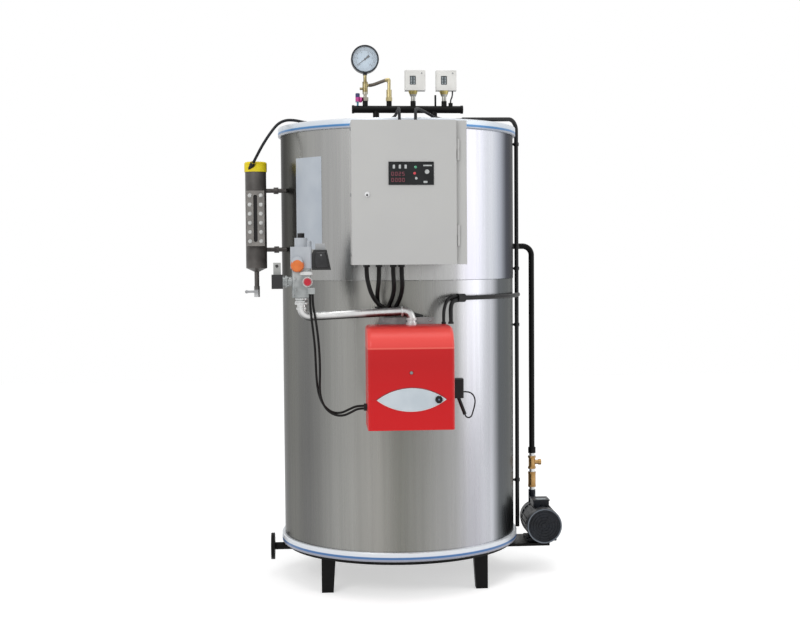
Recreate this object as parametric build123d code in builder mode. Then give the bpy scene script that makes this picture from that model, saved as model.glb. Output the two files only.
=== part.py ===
from build123d import *
from math import cos, degrees, radians, sin, sqrt, tan
import os

# Sizes in millimetres. The boiler stands on the floor at height zero, on its own upright axis.
# Its front, with the burner and the control cabinet, faces minus Y.
seat_gap = 0.3
hex_sides = 6
quarter_turn = 90

# Round body: two polished jacket sheets over the lagged vessel, with a rolled trim at each end.
jacket_radius = 500
lower_jacket_height = 1118
upper_jacket_height = 637
lap_step = 2
trim_reach = 13
trim_band_height = 24
trim_flange = 14
trim_flange_width = 34
trim_round = 4
top_trim_depth = 28
top_trim_rise = 10
cover_thickness = 8

# Base: a plate ring on four folded channel feet.
ring_thickness = 15
ring_width = 98
ring_inset = 8
leg_height = 141
leg_width = 58
leg_depth = 48
leg_taper = 9
leg_wall = 6
leg_foot = 8
leg_inset_x = 184
leg_inset_y = 174
anchor_radius = 7

# Instrument header lying above the cover, with its sockets.
header_rise = 55
header_radius = 15
header_setback = 200
header_left = 202
header_right = 256
header_cap_length = 10
header_cap_reach = 2
header_foot_radius = 13
header_foot_left = 103
header_foot_right = 136
socket_radius = 11
socket_height = 19
gauge_x = -147
siphon_x = -49
switch_left_x = 50
switch_right_x = 178
probe_x = 142
probe_radius = 4
probe_height = 44
lead_gland_x = 205
lead_gland_radius = 9
lead_gland_height = 12
bleed_x = -178
bleed_radius = 4
bleed_body_radius = 9
bleed_height = 50
bleed_neck = 14

# Pressure gauge, its brass cock and the bent siphon beside it.
gauge_radius = 57
gauge_depth = 38
gauge_rim = 6
gauge_recess = 15
gauge_rise = 169
gauge_stem_radius = 9
dial_thickness = 3
glass_thickness = 3
needle_width = 3
needle_length = 38
needle_angle = 48
needle_thickness = 2
cock_radius = 7
cock_body_radius = 11
cock_body_low = 28
cock_body_high = 78
cock_hex_radius = 13
cock_hex_height = 15
cock_port_level = 64
cock_port_length = 14
cock_handle_level = 50
cock_handle_length = 22
siphon_radius = 5
siphon_high_level = 90
siphon_bend = 14
siphon_body_low = 8
siphon_body_high = 46

# Two pressure switches on brass bellows.
switch_width = 84
switch_height = 82
switch_depth = 46
switch_shift = 8
switch_wall_round = 4
switch_window_width = 25
switch_window_height = 36
switch_window_depth = 4
switch_window_shift = -10
bellows_height = 22
bellows_low_radius = 12
bellows_high_radius = 20
nipple_radius = 9
nipple_height = 20

# Control cabinet: a folded box with its door on the front.
cabinet_width = 438
cabinet_height = 544
cabinet_depth = 198
cabinet_wall = 4
cabinet_standoff = 60
cabinet_below_top = 28
cabinet_round = 5
door_margin = 41
door_thickness = 18
door_gap = 2
door_pocket = 12
door_edge = 14
door_round = 3
door_frame = 20
hinge_radius = 5
hinge_height = 40
hinge_offset = 7
hinge_inset = 70
hinge_leaf = 5
rail_height = 30
rail_width = 300
rail_inset = 90
panel_width = 171
panel_height = 87
panel_thickness = 3
panel_from_left = 139
panel_below_top = 157
panel_edge = 5
panel_step = 1
panel_knob_radius = 8
panel_knob_length = 7
panel_knob_inset = 26
panel_knob_drop = 38
lock_radius = 9
lock_length = 6
lock_from_left = 58
lock_below_top = 279
lock_slot_width = 2
lock_slot_length = 11
lock_slot_depth = 2

# Burner: moulded cover on its base plate, flanged to the jacket.
burner_width = 330
burner_height = 391
burner_front = 300
burner_drop = 561
burner_shoulder = 90
burner_round = 16
burner_split = 1.2
burner_screw_radius = 8
burner_screw_depth = 3
burner_screw_rise = 218
burner_base_thickness = 15
burner_back = 62
burner_neck_radius = 84
burner_flange_width = 220
burner_flange_high = 26
burner_flange_low = 60
burner_flange_thickness = 12
label_length = 268
label_height = 91
label_thickness = 2
label_rise = 116
burner_knob_radius = 14
burner_knob_length = 8
burner_knob_x = 103
plug_width = 50
plug_height = 75
plug_depth = 60
plug_round = 6
plug_rise = 140
plug_back = 150
plug_tail_radius = 7
plug_tail_drop = 35
plug_tail_hang = 104
plug_tail_side = 31
plug_tail_reach = 57

# Gas line and valve train.
gas_radius = 17
gas_setback = 120
gas_drop_x = 14
gas_rise = 54
gas_fall = 19
gas_left_x = -412
gas_bend = 32
gas_collar_radius = 22
gas_collar_length = 18
elbow_ring_radius = 20
elbow_ring_length = 8
union_radius = 25
union_length = 14
valve_width = 72
valve_height = 112
valve_depth = 72
valve_rise = 75
valve_round = 8
valve_port_length = 14
valve_cap_radius = 15
valve_cap_length = 14
valve_cap_x = 24
valve_cap_level = 60
cable_box_left = 24
cable_box_width = 28
cable_box_depth = 22
cable_box_reach = 16
cable_box_low = 14
cable_box_height = 24
valve_inlet_radius = 17
valve_inlet_length = 46
inlet_bore_radius = 13
actuator_width = 82
actuator_height = 84
actuator_depth = 76
actuator_head_radius = 25
actuator_head_height = 34
actuator_cap_radius = 13
actuator_cap_height = 19
knob_radius = 20
knob_length = 22
knob_x = -14
knob_level = 26
gas_switch_width = 74
gas_switch_height = 78
gas_switch_depth = 60
gas_switch_drop = 6
gas_switch_slope = 16
gas_switch_tab_width = 38
gas_switch_tab_height = 24
gas_switch_tab_depth = 20
gas_switch_tab_inset = 14
gas_switch_rib_count = 4
gas_switch_rib_pitch = 13
gas_switch_groove = 5
gas_switch_groove_depth = 2
pilot_width = 42
pilot_height = 55
pilot_depth = 48
pilot_rise = 34
pilot_neck_radius = 19
pilot_neck_length = 36
pilot_plug_width = 28
pilot_plug_height = 46
pilot_plug_depth = 30

# Water level column on the left side.
column_radius = 44
column_standoff = 104
column_forward = 150
column_rise = 51
column_height = 402
column_cone = 16
column_cap_height = 42
column_cap_radius = 47
column_cap_round = 8
cap_gland_radius = 9
cap_gland_root_shift = (-24, -28, 7)
cap_gland_end_shift = (-6, -54, 37)
arm_radius = 9
arm_union_radius = 14
arm_union_length = 20
arm_low_rise = 77
arm_high_rise = 324
plate_width = 74
plate_height = 230
plate_thickness = 18
plate_rise = 92
plate_slot_width = 16
plate_slot_height = 196
glass_depth = 8
plate_bolt_radius = 6
plate_bolt_height = 5
plate_bolt_pitch = 38
plate_bolt_spread = 23
plate_bolt_rows = 6
drain_radius = 10
drain_length = 60
cock_height = 46
cock_width = 24
lever_stem_radius = 5
lever_stem_length = 6
lever_length = 42
lever_width = 10
lever_thickness = 4
lever_knob_radius = 7

# Blowdown pipe under the base, with its flange on the left.
blowdown_radius = 16
blowdown_bore = 12
blowdown_drop = 17
blowdown_bend = 34
blowdown_inset = 170
blowdown_stand = 62
flange_radius = 57.5
flange_thickness = 16
flange_pitch_radius = 42.5
flange_bolt_radius = 7
flange_bolt_count = 4

# Feed water line and pump on the right.
feed_radius = 12.5
feed_standoff = 105
feed_back = 100
feed_entry_rise = 138
feed_bend = 40
feed_rise = 313
coupling_radius = 17
coupling_length = 26
tee_radius = 15
tee_length = 60
tee_collar_radius = 18
tee_collar_length = 10
tee_gap = 12
tee_port_radius = 10
tee_port_length = 26
tee_port_cap_radius = 13
tee_port_cap_length = 12
check_radius = 17
check_length = 70
check_collar_length = 10
motor_radius = 76
motor_length = 196
motor_front = -130
motor_shift = 18
motor_rise = 53
motor_rim = 6
motor_recess = 6
motor_hood_length = 44
motor_flange_length = 14
motor_fin_height = 4
motor_fin_thickness = 3
motor_fin_count = 20
motor_foot_width = 130
motor_foot_length = 120
motor_foot_height = 12
terminal_width = 70
terminal_length = 80
terminal_rise = 23
terminal_lid = 5
terminal_lip = 3
casing_radius = 70
casing_length = 56
discharge_radius = 16
suction_radius = 16
suction_bore = 12
suction_length = 40
bracket_thickness = 12
bracket_inset = 100
bracket_overrun = 45
bracket_half_depth = 100
bracket_pad = 62

# Cable conduit up the right side, with its stand-off clips and its branch to the burner.
conduit_radius = 9
conduit_standoff = 23
conduit_lift = 15
conduit_rise = 45
conduit_bend = 46
conduit_end_gap = 6
conduit_end_back = 64
conduit_end_rise = 21
clip_below_top = 61
clips_above_seam = (125, 33)
clip_below_seam = 214
clip_above_foot = 216
clip_length = 14
clip_radius = 12
clip_stem_radius = 5
branch_drop = 72
branch_radius = 9
branch_end_angle = -60.5
branch_clip_angles = (-22, -41)
branch_nose = 57
branch_gland_length = 35
branch_gland_radius = 17
thin_flex_radius = 4.5
thin_flex_rise = 9
flex_lead = 26
thick_flex_radius = 6.5
thick_flex_drop = 8
thin_flex_shares = ((0.527, 0.239, 0.181), (0.811, 0.531, 0.494), (0.976, 0.823, 0.747))
thick_flex_shares = ((0.774, 0.244, 0.182), (0.925, 0.542, 0.47), (1, 0.851, 0.682))

# Cables: their sections, the glands they pass through and the share of a run that a bend may use.
cabinet_cable_radius = 7
top_cable_radius = 6
valve_cable_radius = 3.5
plug_wire_radius = 2
switch_lead_radius = 3
column_cable_lead = 36
header_cable_lead = 35
plug_wire_lead = 8
bend_share = 0.45
bottom_gland_xs = (-160, -112, -57, -24)
bottom_gland_inset = 80
bottom_gland_radius = 13
bottom_gland_height = 10
top_gland_xs = (-26, 37)
top_gland_inset = 40
top_gland_radius = 10
top_gland_height = 8
entry_left = -124
entry_right = -28
entry_drop = 136
entry_height = 32
entry_stand = 3
boot_start_x = -6
boot_stand = 60
boot_start_drop = 128
boot_end_x = 66
boot_sink = 4
boot_end_drop = 142
boot_lead = 36
boot_wide_radius = 11
boot_narrow_radius = 5
flex_gland_height = 8
thin_flex_from_side = 22
thin_flex_inset = 30
thin_flex_gland_radius = 9
thick_flex_overhang = 7
thick_flex_inset = 28
thick_flex_gland_radius = 11
side_gland_back = 104
side_gland_rise = 79.5
side_gland_radius = 14
side_gland_length = 12
lead_shift = 27
lead_straight = 15
lead_sag = 28
lead_sway = 3

# Outlets at the top and the cleaning door low at the rear.
steam_radius = 24
steam_bore = 20
steam_height = 60
steam_setback = 200
steam_flange_radius = 75
steam_flange_thickness = 18
steam_pitch_radius = 55
steam_bolt_radius = 9
flue_radius = 100
flue_bore = 96
flue_height = 48
flue_y = 60
hand_hole_radius = 70
hand_hole_depth = 22
hand_hole_rise = 160
hand_hole_bolt_radius = 8
hand_hole_bolt_pitch = 52
hand_hole_bolt_height = 8

# Levels and faces that follow from the sizes above.
ring_top = leg_height + ring_thickness
jacket_bottom = ring_top + trim_flange
seam_level = jacket_bottom + lower_jacket_height
jacket_top = seam_level + upper_jacket_height
upper_radius = jacket_radius + lap_step
trim_radius = jacket_radius + trim_reach
cover_top = jacket_top + cover_thickness
trim_top = jacket_top + top_trim_rise
header_y = -(jacket_radius - header_setback)
header_level = cover_top + header_rise
header_crown = header_level + header_radius
socket_top = header_crown + socket_height
cabinet_back = -(jacket_radius + cabinet_standoff)
cabinet_front = cabinet_back - cabinet_depth
cabinet_top = jacket_top - cabinet_below_top
cabinet_bottom = cabinet_top - cabinet_height
cabinet_left = -cabinet_width / 2
cabinet_right = cabinet_width / 2
door_back = cabinet_front - door_gap
door_front = door_back - door_thickness
door_right = cabinet_right - door_margin
burner_face = -(jacket_radius + burner_front)
burner_rear = -(jacket_radius + burner_back)
burner_bottom = seam_level - burner_drop
burner_top = burner_bottom + burner_height
label_level = burner_bottom + label_rise
plug_level = burner_bottom + plug_rise
gas_y = -(jacket_radius + gas_setback)
gas_right_level = burner_top + gas_rise
gas_left_level = gas_right_level - gas_fall
valve_bottom = gas_left_level + valve_rise
valve_top = valve_bottom + valve_height
gas_switch_level = valve_top - gas_switch_drop
pilot_level = valve_bottom + pilot_rise
column_x = -(jacket_radius + column_standoff)
column_bottom = seam_level + column_rise
column_top = column_bottom + column_height
plate_bottom = column_bottom + plate_rise
arm_low_level = column_bottom + arm_low_rise
arm_high_level = column_bottom + arm_high_rise
drain_bottom = column_bottom - column_cone - drain_length
blowdown_level = leg_height - blowdown_drop
blowdown_root = jacket_radius - blowdown_inset
blowdown_reach = jacket_radius + blowdown_stand
leg_spread_x = jacket_radius - leg_inset_x
leg_spread_y = jacket_radius - leg_inset_y
feed_x = jacket_radius + feed_standoff
feed_entry_level = seam_level + feed_entry_rise
motor_x = feed_x + motor_shift
motor_level = ring_top + motor_rise
feed_bottom = motor_level + feed_rise
bracket_root = jacket_radius - bracket_inset
bracket_reach = feed_x + bracket_overrun
motor_rear = motor_front + motor_length
conduit_x = jacket_radius + conduit_standoff
conduit_bottom = jacket_bottom + conduit_lift
conduit_top = trim_top + conduit_rise
conduit_end_x = header_right + conduit_end_gap
conduit_end_y = header_y + conduit_end_back
conduit_end_level = cover_top + conduit_end_rise
clip_levels = (
    jacket_top - clip_below_top,
    *[seam_level + rise for rise in clips_above_seam],
    seam_level - clip_below_seam,
    jacket_bottom + clip_above_foot,
)
branch_level = seam_level - branch_drop
bottom_gland_y = cabinet_back - bottom_gland_inset
top_gland_y = cabinet_back - top_gland_inset
entry_low = seam_level - entry_drop
entry_high = entry_low + entry_height
boot_start = (boot_start_x, -(jacket_radius + boot_stand), seam_level - boot_start_drop)
boot_end = (boot_end_x, -(jacket_radius - boot_sink), seam_level - boot_end_drop)
thin_flex_gland = (burner_width / 2 - thin_flex_from_side, burner_rear - thin_flex_inset)
thick_flex_gland = (burner_width / 2 + thick_flex_overhang, burner_rear - thick_flex_inset)
side_gland_y = burner_face + side_gland_back
side_gland_level = burner_bottom + side_gland_rise
hand_hole_level = jacket_bottom + hand_hole_rise
steam_y = jacket_radius - steam_setback

os.makedirs("parts", exist_ok=True)


def upright(radius, x, y, low, high, mode=Mode.ADD):
    """A round piece standing between two heights."""
    with BuildSketch(Plane((x, y, low))) as outline:
        Circle(radius)
    extrude(outline.sketch, amount=high - low, mode=mode)


def hexagon(radius, x, y, low, high):
    """A hexagon nut standing between two heights."""
    with BuildSketch(Plane((x, y, low))) as outline:
        RegularPolygon(radius, hex_sides)
    extrude(outline.sketch, amount=high - low)


def block(x_low, x_high, y_low, y_high, z_low, z_high, mode=Mode.ADD):
    """A square-edged block between its faces."""
    with BuildSketch(Plane(((x_low + x_high) / 2, (y_low + y_high) / 2, z_low))) as outline:
        Rectangle(x_high - x_low, y_high - y_low)
    extrude(outline.sketch, amount=z_high - z_low, mode=mode)


def rod(radius, start, end, mode=Mode.ADD):
    """A round piece from one point to another."""
    along = Vector(end) - Vector(start)
    with BuildSketch(Plane(origin=start, z_dir=along)) as outline:
        Circle(radius)
    extrude(outline.sketch, amount=along.length, mode=mode)


def tube(radius, points, bends):
    """A round tube along straight runs joined by arcs."""
    with BuildLine() as route:
        FilletPolyline(*points, radius=bends)
    with BuildSketch(Plane(origin=route.line @ 0, z_dir=route.line % 0)) as outline:
        Circle(radius)
    sweep(outline.sketch, path=route.line)


def beyond(start, end, distance):
    """The point this far past the end of a line."""
    along = (Vector(end) - Vector(start)).normalized()
    return tuple(Vector(end) + along * distance)


def part_way(start, end, shares):
    """The point that lies these shares of the way between two points, along X, Y and Z."""
    return tuple(low + (high - low) * share for low, high, share in zip(start, end, shares))


def bend_radii(points):
    """The radius of each bend, as large as its two runs allow."""
    corners = [Vector(*point) for point in points]
    radii = []
    for before, corner, after in zip(corners, corners[1:], corners[2:]):
        run_in = corner - before
        run_out = after - corner
        shorter = min(run_in.length, run_out.length)
        radii.append(bend_share * shorter / tan(radians(run_in.get_angle(run_out) / 2)))
    return radii


def save_cord(name, radius, points):
    """Writes a cable as a plain tube along its route, and prints its length and bends."""
    radii = bend_radii(points)
    with BuildPart() as cord:
        with BuildLine() as route:
            FilletPolyline(*points, radius=radii)
        with BuildSketch(Plane(origin=route.line @ 0, z_dir=route.line % 0)):
            Circle(radius)
        sweep(path=route.line)
    cord.part.label = name
    export_step(cord.part, "parts/" + name + ".step")
    print(name, "length", round(route.wire().length), "bend radii", [round(bend) for bend in radii])


def facing_front(x, y, z):
    """A drawing plane that looks towards the boiler's front."""
    return Plane(origin=(x, y, z), x_dir=(1, 0, 0), z_dir=(0, -1, 0))


def ring(inner, outer, low, high):
    """A flat ring about the boiler's axis."""
    with BuildSketch(Plane.XY.offset(low)) as outline:
        Circle(outer)
        Circle(inner, mode=Mode.SUBTRACT)
    extrude(outline.sketch, amount=high - low)


def clear_of_jacket(radius):
    """Trims what was drawn back to the outside of the round jacket."""
    upright(radius + seat_gap, 0, 0, 0, trim_top, mode=Mode.SUBTRACT)


def jacket_y(radius, x):
    """How far the jacket's front stands out at this distance to the side."""
    return sqrt(radius**2 - x**2)


# Base ring under the jacket, open in the middle.
with BuildPart() as base_ring:
    ring(
        jacket_radius - ring_inset - ring_width,
        jacket_radius - ring_inset,
        leg_height,
        ring_top,
    )
base_ring.part.label = "base_ring"
export_step(base_ring.part, "parts/base_ring.step")


# One folded channel foot, open towards the boiler's axis, with a drilled foot plate.
def draw_leg(side, end):
    foot_width = leg_width - leg_taper
    outer_x = leg_spread_x + leg_width / 2
    with BuildSketch(Plane.XZ.offset(-end * (leg_spread_y + leg_depth / 2))) as outline:
        with BuildLine():
            Polyline(
                (side * outer_x, 0),
                (side * outer_x, leg_height),
                (side * (outer_x - leg_width), leg_height),
                (side * (outer_x - foot_width), 0),
                close=True,
            )
        make_face()
    extrude(outline.sketch, amount=end * leg_depth)
    with BuildSketch(Plane.XY.offset(leg_foot)) as pocket:
        with Locations((side * (outer_x - foot_width / 2), end * (leg_spread_y - leg_wall / 2))):
            Rectangle(foot_width - 2 * leg_wall, leg_depth - leg_wall)
    extrude(pocket.sketch, amount=leg_height - leg_foot - leg_wall, mode=Mode.SUBTRACT)
    upright(anchor_radius, side * leg_spread_x, end * leg_spread_y, 0, leg_foot, mode=Mode.SUBTRACT)


# The four feet under the ring.
with BuildPart() as legs:
    for leg_side in (-1, 1):
        for leg_end in (-1, 1):
            draw_leg(leg_side, leg_end)
legs.part.label = "legs"
export_step(legs.part, "parts/legs.step")

# Lower half of the polished jacket.
with BuildPart() as lower_jacket:
    upright(jacket_radius, 0, 0, jacket_bottom, seam_level)
lower_jacket.part.label = "lower_jacket"
export_step(lower_jacket.part, "parts/lower_jacket.step")

# Upper half, which laps over the lower one.
with BuildPart() as upper_jacket:
    upright(upper_radius, 0, 0, seam_level, jacket_top)
upper_jacket.part.label = "upper_jacket"
export_step(upper_jacket.part, "parts/upper_jacket.step")

# Rolled trim at the foot: a band round the jacket on a flange that carries it.
with BuildPart() as bottom_trim:
    with BuildSketch(Plane.XZ):
        with BuildLine():
            Polyline(
                (jacket_radius - trim_flange_width, ring_top),
                (trim_radius, ring_top),
                (trim_radius, jacket_bottom + trim_band_height),
                (jacket_radius + seat_gap, jacket_bottom + trim_band_height),
                (jacket_radius + seat_gap, jacket_bottom),
                (jacket_radius - trim_flange_width, jacket_bottom),
                close=True,
            )
        make_face()
    revolve(axis=Axis.Z)
    outer_edges = bottom_trim.edges().filter_by(GeomType.CIRCLE).sort_by(SortBy.RADIUS)[-2:]
    fillet(outer_edges, trim_round)
bottom_trim.part.label = "bottom_trim"
export_step(bottom_trim.part, "parts/bottom_trim.step")

# Rolled trim at the top, which holds the cover plate's edge.
with BuildPart() as top_trim:
    with BuildSketch(Plane.XZ):
        with BuildLine():
            Polyline(
                (upper_radius + seat_gap, jacket_top - top_trim_depth),
                (trim_radius, jacket_top - top_trim_depth),
                (trim_radius, trim_top),
                (jacket_radius - trim_flange_width, trim_top),
                (jacket_radius - trim_flange_width, jacket_top),
                (upper_radius + seat_gap, jacket_top),
                close=True,
            )
        make_face()
    revolve(axis=Axis.Z)
    outer_edges = top_trim.edges().filter_by(GeomType.CIRCLE).sort_by(SortBy.RADIUS)[-2:]
    fillet(outer_edges, trim_round)
top_trim.part.label = "top_trim"
export_step(top_trim.part, "parts/top_trim.step")

# Flat cover plate inside the top trim.
with BuildPart() as top_cover:
    upright(jacket_radius - trim_flange_width - seat_gap, 0, 0, jacket_top, cover_top)
top_cover.part.label = "top_cover"
export_step(top_cover.part, "parts/top_cover.step")

# Header pipe on two feet, with four threaded sockets and a probe pocket on top.
with BuildPart() as instrument_header:
    rod(header_radius, (-header_left, header_y, header_level), (header_right, header_y, header_level))
    for cap_start in (-header_left, header_right - header_cap_length):
        rod(
            header_radius + header_cap_reach,
            (cap_start, header_y, header_level),
            (cap_start + header_cap_length, header_y, header_level),
        )
    for foot_x in (-header_foot_left, header_foot_right):
        upright(header_foot_radius, foot_x, header_y, cover_top, header_level)
    for socket_x in (gauge_x, siphon_x, switch_left_x, switch_right_x):
        upright(socket_radius, socket_x, header_y, header_level, socket_top)
    upright(probe_radius, probe_x, header_y, header_level, header_crown + probe_height)
    upright(lead_gland_radius, lead_gland_x, header_y, header_level, header_crown + lead_gland_height)
instrument_header.part.label = "instrument_header"
export_step(instrument_header.part, "parts/instrument_header.step")

# Small bleed valve at the header's left end.
with BuildPart() as bleed_valve:
    upright(bleed_radius, bleed_x, header_y, header_crown, header_crown + bleed_height)
    upright(
        bleed_body_radius,
        bleed_x,
        header_y,
        header_crown + bleed_neck,
        header_crown + bleed_height - bleed_neck,
    )
bleed_valve.part.label = "bleed_valve"
export_step(bleed_valve.part, "parts/bleed_valve.step")

# Brass cock under the gauge, with a port for the siphon and a handle.
cock_top = header_crown + gauge_rise - gauge_radius + socket_height - cock_radius
with BuildPart() as gauge_cock:
    upright(cock_radius, gauge_x, header_y, socket_top, cock_top)
    hexagon(cock_hex_radius, gauge_x, header_y, socket_top, socket_top + cock_hex_height)
    upright(cock_body_radius, gauge_x, header_y, socket_top + cock_body_low, socket_top + cock_body_high)
    rod(
        cock_radius,
        (gauge_x, header_y, socket_top + cock_port_level),
        (gauge_x + cock_port_length, header_y, socket_top + cock_port_level),
    )
    rod(
        siphon_radius,
        (gauge_x, header_y, socket_top + cock_handle_level),
        (gauge_x - cock_handle_length, header_y, socket_top + cock_handle_level),
    )
gauge_cock.part.label = "gauge_cock"
export_step(gauge_cock.part, "parts/gauge_cock.step")

# Gauge case, open at the front.
gauge_level = header_crown + gauge_rise + socket_height
gauge_front = header_y - gauge_depth / 2
with BuildPart() as pressure_gauge:
    rod(gauge_radius, (gauge_x, header_y + gauge_depth / 2, gauge_level), (gauge_x, gauge_front, gauge_level))
    upright(gauge_stem_radius, gauge_x, header_y, cock_top, gauge_level)
    rod(
        gauge_radius - gauge_rim,
        (gauge_x, gauge_front, gauge_level),
        (gauge_x, gauge_front + gauge_recess, gauge_level),
        mode=Mode.SUBTRACT,
    )
pressure_gauge.part.label = "pressure_gauge"
export_step(pressure_gauge.part, "parts/pressure_gauge.step")

# Dial with its needle.
dial_face = gauge_front + gauge_recess - dial_thickness
with BuildPart() as gauge_dial:
    rod(
        gauge_radius - gauge_rim - seat_gap,
        (gauge_x, gauge_front + gauge_recess, gauge_level),
        (gauge_x, dial_face, gauge_level),
    )
    with BuildSketch(facing_front(gauge_x, dial_face, gauge_level)):
        SlotCenterToCenter(needle_length, needle_width, rotation=needle_angle)
    extrude(amount=needle_thickness)
gauge_dial.part.label = "gauge_dial"
export_step(gauge_dial.part, "parts/gauge_dial.step")

# Glass over the dial.
with BuildPart() as gauge_glass:
    rod(
        gauge_radius - gauge_rim - seat_gap,
        (gauge_x, gauge_front + glass_thickness, gauge_level),
        (gauge_x, gauge_front, gauge_level),
    )
gauge_glass.part.label = "gauge_glass"
export_step(gauge_glass.part, "parts/gauge_glass.step")

# Siphon: a tube rising from the cock, then an elbow and a brass riser down to its socket.
with BuildPart() as siphon:
    tube(
        siphon_radius,
        (
            (gauge_x + cock_port_length, header_y, socket_top + cock_port_level),
            (gauge_x + cock_port_length + siphon_bend, header_y, socket_top + cock_port_level),
            (siphon_x, header_y, socket_top + siphon_high_level),
            (siphon_x, header_y, socket_top),
        ),
        siphon_bend,
    )
    upright(cock_body_radius, siphon_x, header_y, socket_top + siphon_body_low, socket_top + siphon_body_high)
    hexagon(cock_hex_radius, siphon_x, header_y, socket_top, socket_top + cock_hex_height)
siphon.part.label = "siphon"
export_step(siphon.part, "parts/siphon.step")

# Brass nipples and bellows that carry the two pressure switches.
with BuildPart() as switch_fittings:
    for fitting_x in (switch_left_x, switch_right_x):
        upright(nipple_radius, fitting_x, header_y, socket_top, socket_top + nipple_height)
        with BuildSketch(Plane((fitting_x, header_y, socket_top + nipple_height))):
            Circle(bellows_low_radius)
        with BuildSketch(Plane((fitting_x, header_y, socket_top + nipple_height + bellows_height))):
            Circle(bellows_high_radius)
        loft()
switch_fittings.part.label = "switch_fittings"
export_step(switch_fittings.part, "parts/switch_fittings.step")


# The two pressure switch housings, each with a sunk window.
switch_bottom = socket_top + nipple_height + bellows_height
switch_front = header_y - switch_depth / 2
with BuildPart() as pressure_switches:
    for switch_x in (switch_left_x + switch_shift, switch_right_x + switch_shift):
        block(
            switch_x - switch_width / 2,
            switch_x + switch_width / 2,
            switch_front,
            switch_front + switch_depth,
            switch_bottom,
            switch_bottom + switch_height,
        )
    fillet(pressure_switches.edges().filter_by(Axis.Z), switch_wall_round)
    for switch_x in (switch_left_x + switch_shift, switch_right_x + switch_shift):
        block(
            switch_x + switch_window_shift - switch_window_width / 2,
            switch_x + switch_window_shift + switch_window_width / 2,
            switch_front,
            switch_front + switch_window_depth,
            switch_bottom + (switch_height - switch_window_height) / 2,
            switch_bottom + (switch_height + switch_window_height) / 2,
            mode=Mode.SUBTRACT,
        )
pressure_switches.part.label = "pressure_switches"
export_step(pressure_switches.part, "parts/pressure_switches.step")

# Cabinet box with an opening behind the door, and the fixed halves of the hinges.
hinge_x = door_right + hinge_offset
hinge_y = door_back - hinge_radius
hinge_lows = (cabinet_bottom + hinge_inset, cabinet_top - hinge_inset - 2 * hinge_height)
with BuildPart() as cabinet_box:
    block(cabinet_left, cabinet_right, cabinet_front, cabinet_back, cabinet_bottom, cabinet_top)
    fillet(cabinet_box.edges().filter_by(Axis.Z), cabinet_round)
    block(
        cabinet_left + cabinet_wall,
        cabinet_right - cabinet_wall,
        cabinet_front + cabinet_wall,
        cabinet_back - cabinet_wall,
        cabinet_bottom + cabinet_wall,
        cabinet_top - cabinet_wall,
        mode=Mode.SUBTRACT,
    )
    block(
        cabinet_left + door_frame,
        door_right - door_frame,
        cabinet_front,
        cabinet_front + cabinet_wall,
        cabinet_bottom + door_frame,
        cabinet_top - door_frame,
        mode=Mode.SUBTRACT,
    )
    for hinge_low in hinge_lows:
        upright(hinge_radius, hinge_x, hinge_y, hinge_low, hinge_low + hinge_height - seat_gap)
        block(
            hinge_x - hinge_leaf / 2,
            hinge_x + hinge_leaf / 2,
            hinge_y,
            cabinet_front,
            hinge_low,
            hinge_low + hinge_height - seat_gap,
        )
cabinet_box.part.label = "cabinet_box"
export_step(cabinet_box.part, "parts/cabinet_box.step")

# Door: a shallow tray with the moving halves of the hinges on its right edge.
with BuildPart() as cabinet_door:
    block(cabinet_left, door_right, door_front, door_back, cabinet_bottom, cabinet_top)
    fillet(cabinet_door.edges().filter_by(Axis.Z), door_round)
    block(
        cabinet_left + door_edge,
        door_right - door_edge,
        door_back - door_pocket,
        door_back,
        cabinet_bottom + door_edge,
        cabinet_top - door_edge,
        mode=Mode.SUBTRACT,
    )
    for hinge_low in hinge_lows:
        upright(hinge_radius, hinge_x, hinge_y, hinge_low + hinge_height, hinge_low + 2 * hinge_height)
        block(
            door_right - door_round,
            hinge_x,
            hinge_y - hinge_leaf / 2,
            hinge_y + hinge_leaf / 2,
            hinge_low + hinge_height,
            hinge_low + 2 * hinge_height,
        )
cabinet_door.part.label = "cabinet_door"
export_step(cabinet_door.part, "parts/cabinet_door.step")

# Two rails that hold the cabinet off the jacket.
with BuildPart() as cabinet_rails:
    for rail_level in (cabinet_bottom + rail_inset, cabinet_top - rail_inset - rail_height):
        block(
            -rail_width / 2,
            rail_width / 2,
            cabinet_back,
            -jacket_y(upper_radius, rail_width / 2) + cabinet_wall,
            rail_level,
            rail_level + rail_height,
        )
    clear_of_jacket(upper_radius)
cabinet_rails.part.label = "cabinet_rails"
export_step(cabinet_rails.part, "parts/cabinet_rails.step")

# Display panel in the door, with its knob.
panel_left = cabinet_left + panel_from_left
panel_top = cabinet_top - panel_below_top
with BuildPart() as display_panel:
    block(
        panel_left,
        panel_left + panel_width,
        door_front - panel_thickness,
        door_front,
        panel_top - panel_height,
        panel_top,
    )
    block(
        panel_left + panel_edge,
        panel_left + panel_width - panel_edge,
        door_front - panel_thickness,
        door_front - panel_thickness + panel_step,
        panel_top - panel_height + panel_edge,
        panel_top - panel_edge,
        mode=Mode.SUBTRACT,
    )
    rod(
        panel_knob_radius,
        (panel_left + panel_width - panel_knob_inset, door_front, panel_top - panel_knob_drop),
        (
            panel_left + panel_width - panel_knob_inset,
            door_front - panel_thickness - panel_knob_length,
            panel_top - panel_knob_drop,
        ),
    )
display_panel.part.label = "display_panel"
export_step(display_panel.part, "parts/display_panel.step")

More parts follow.
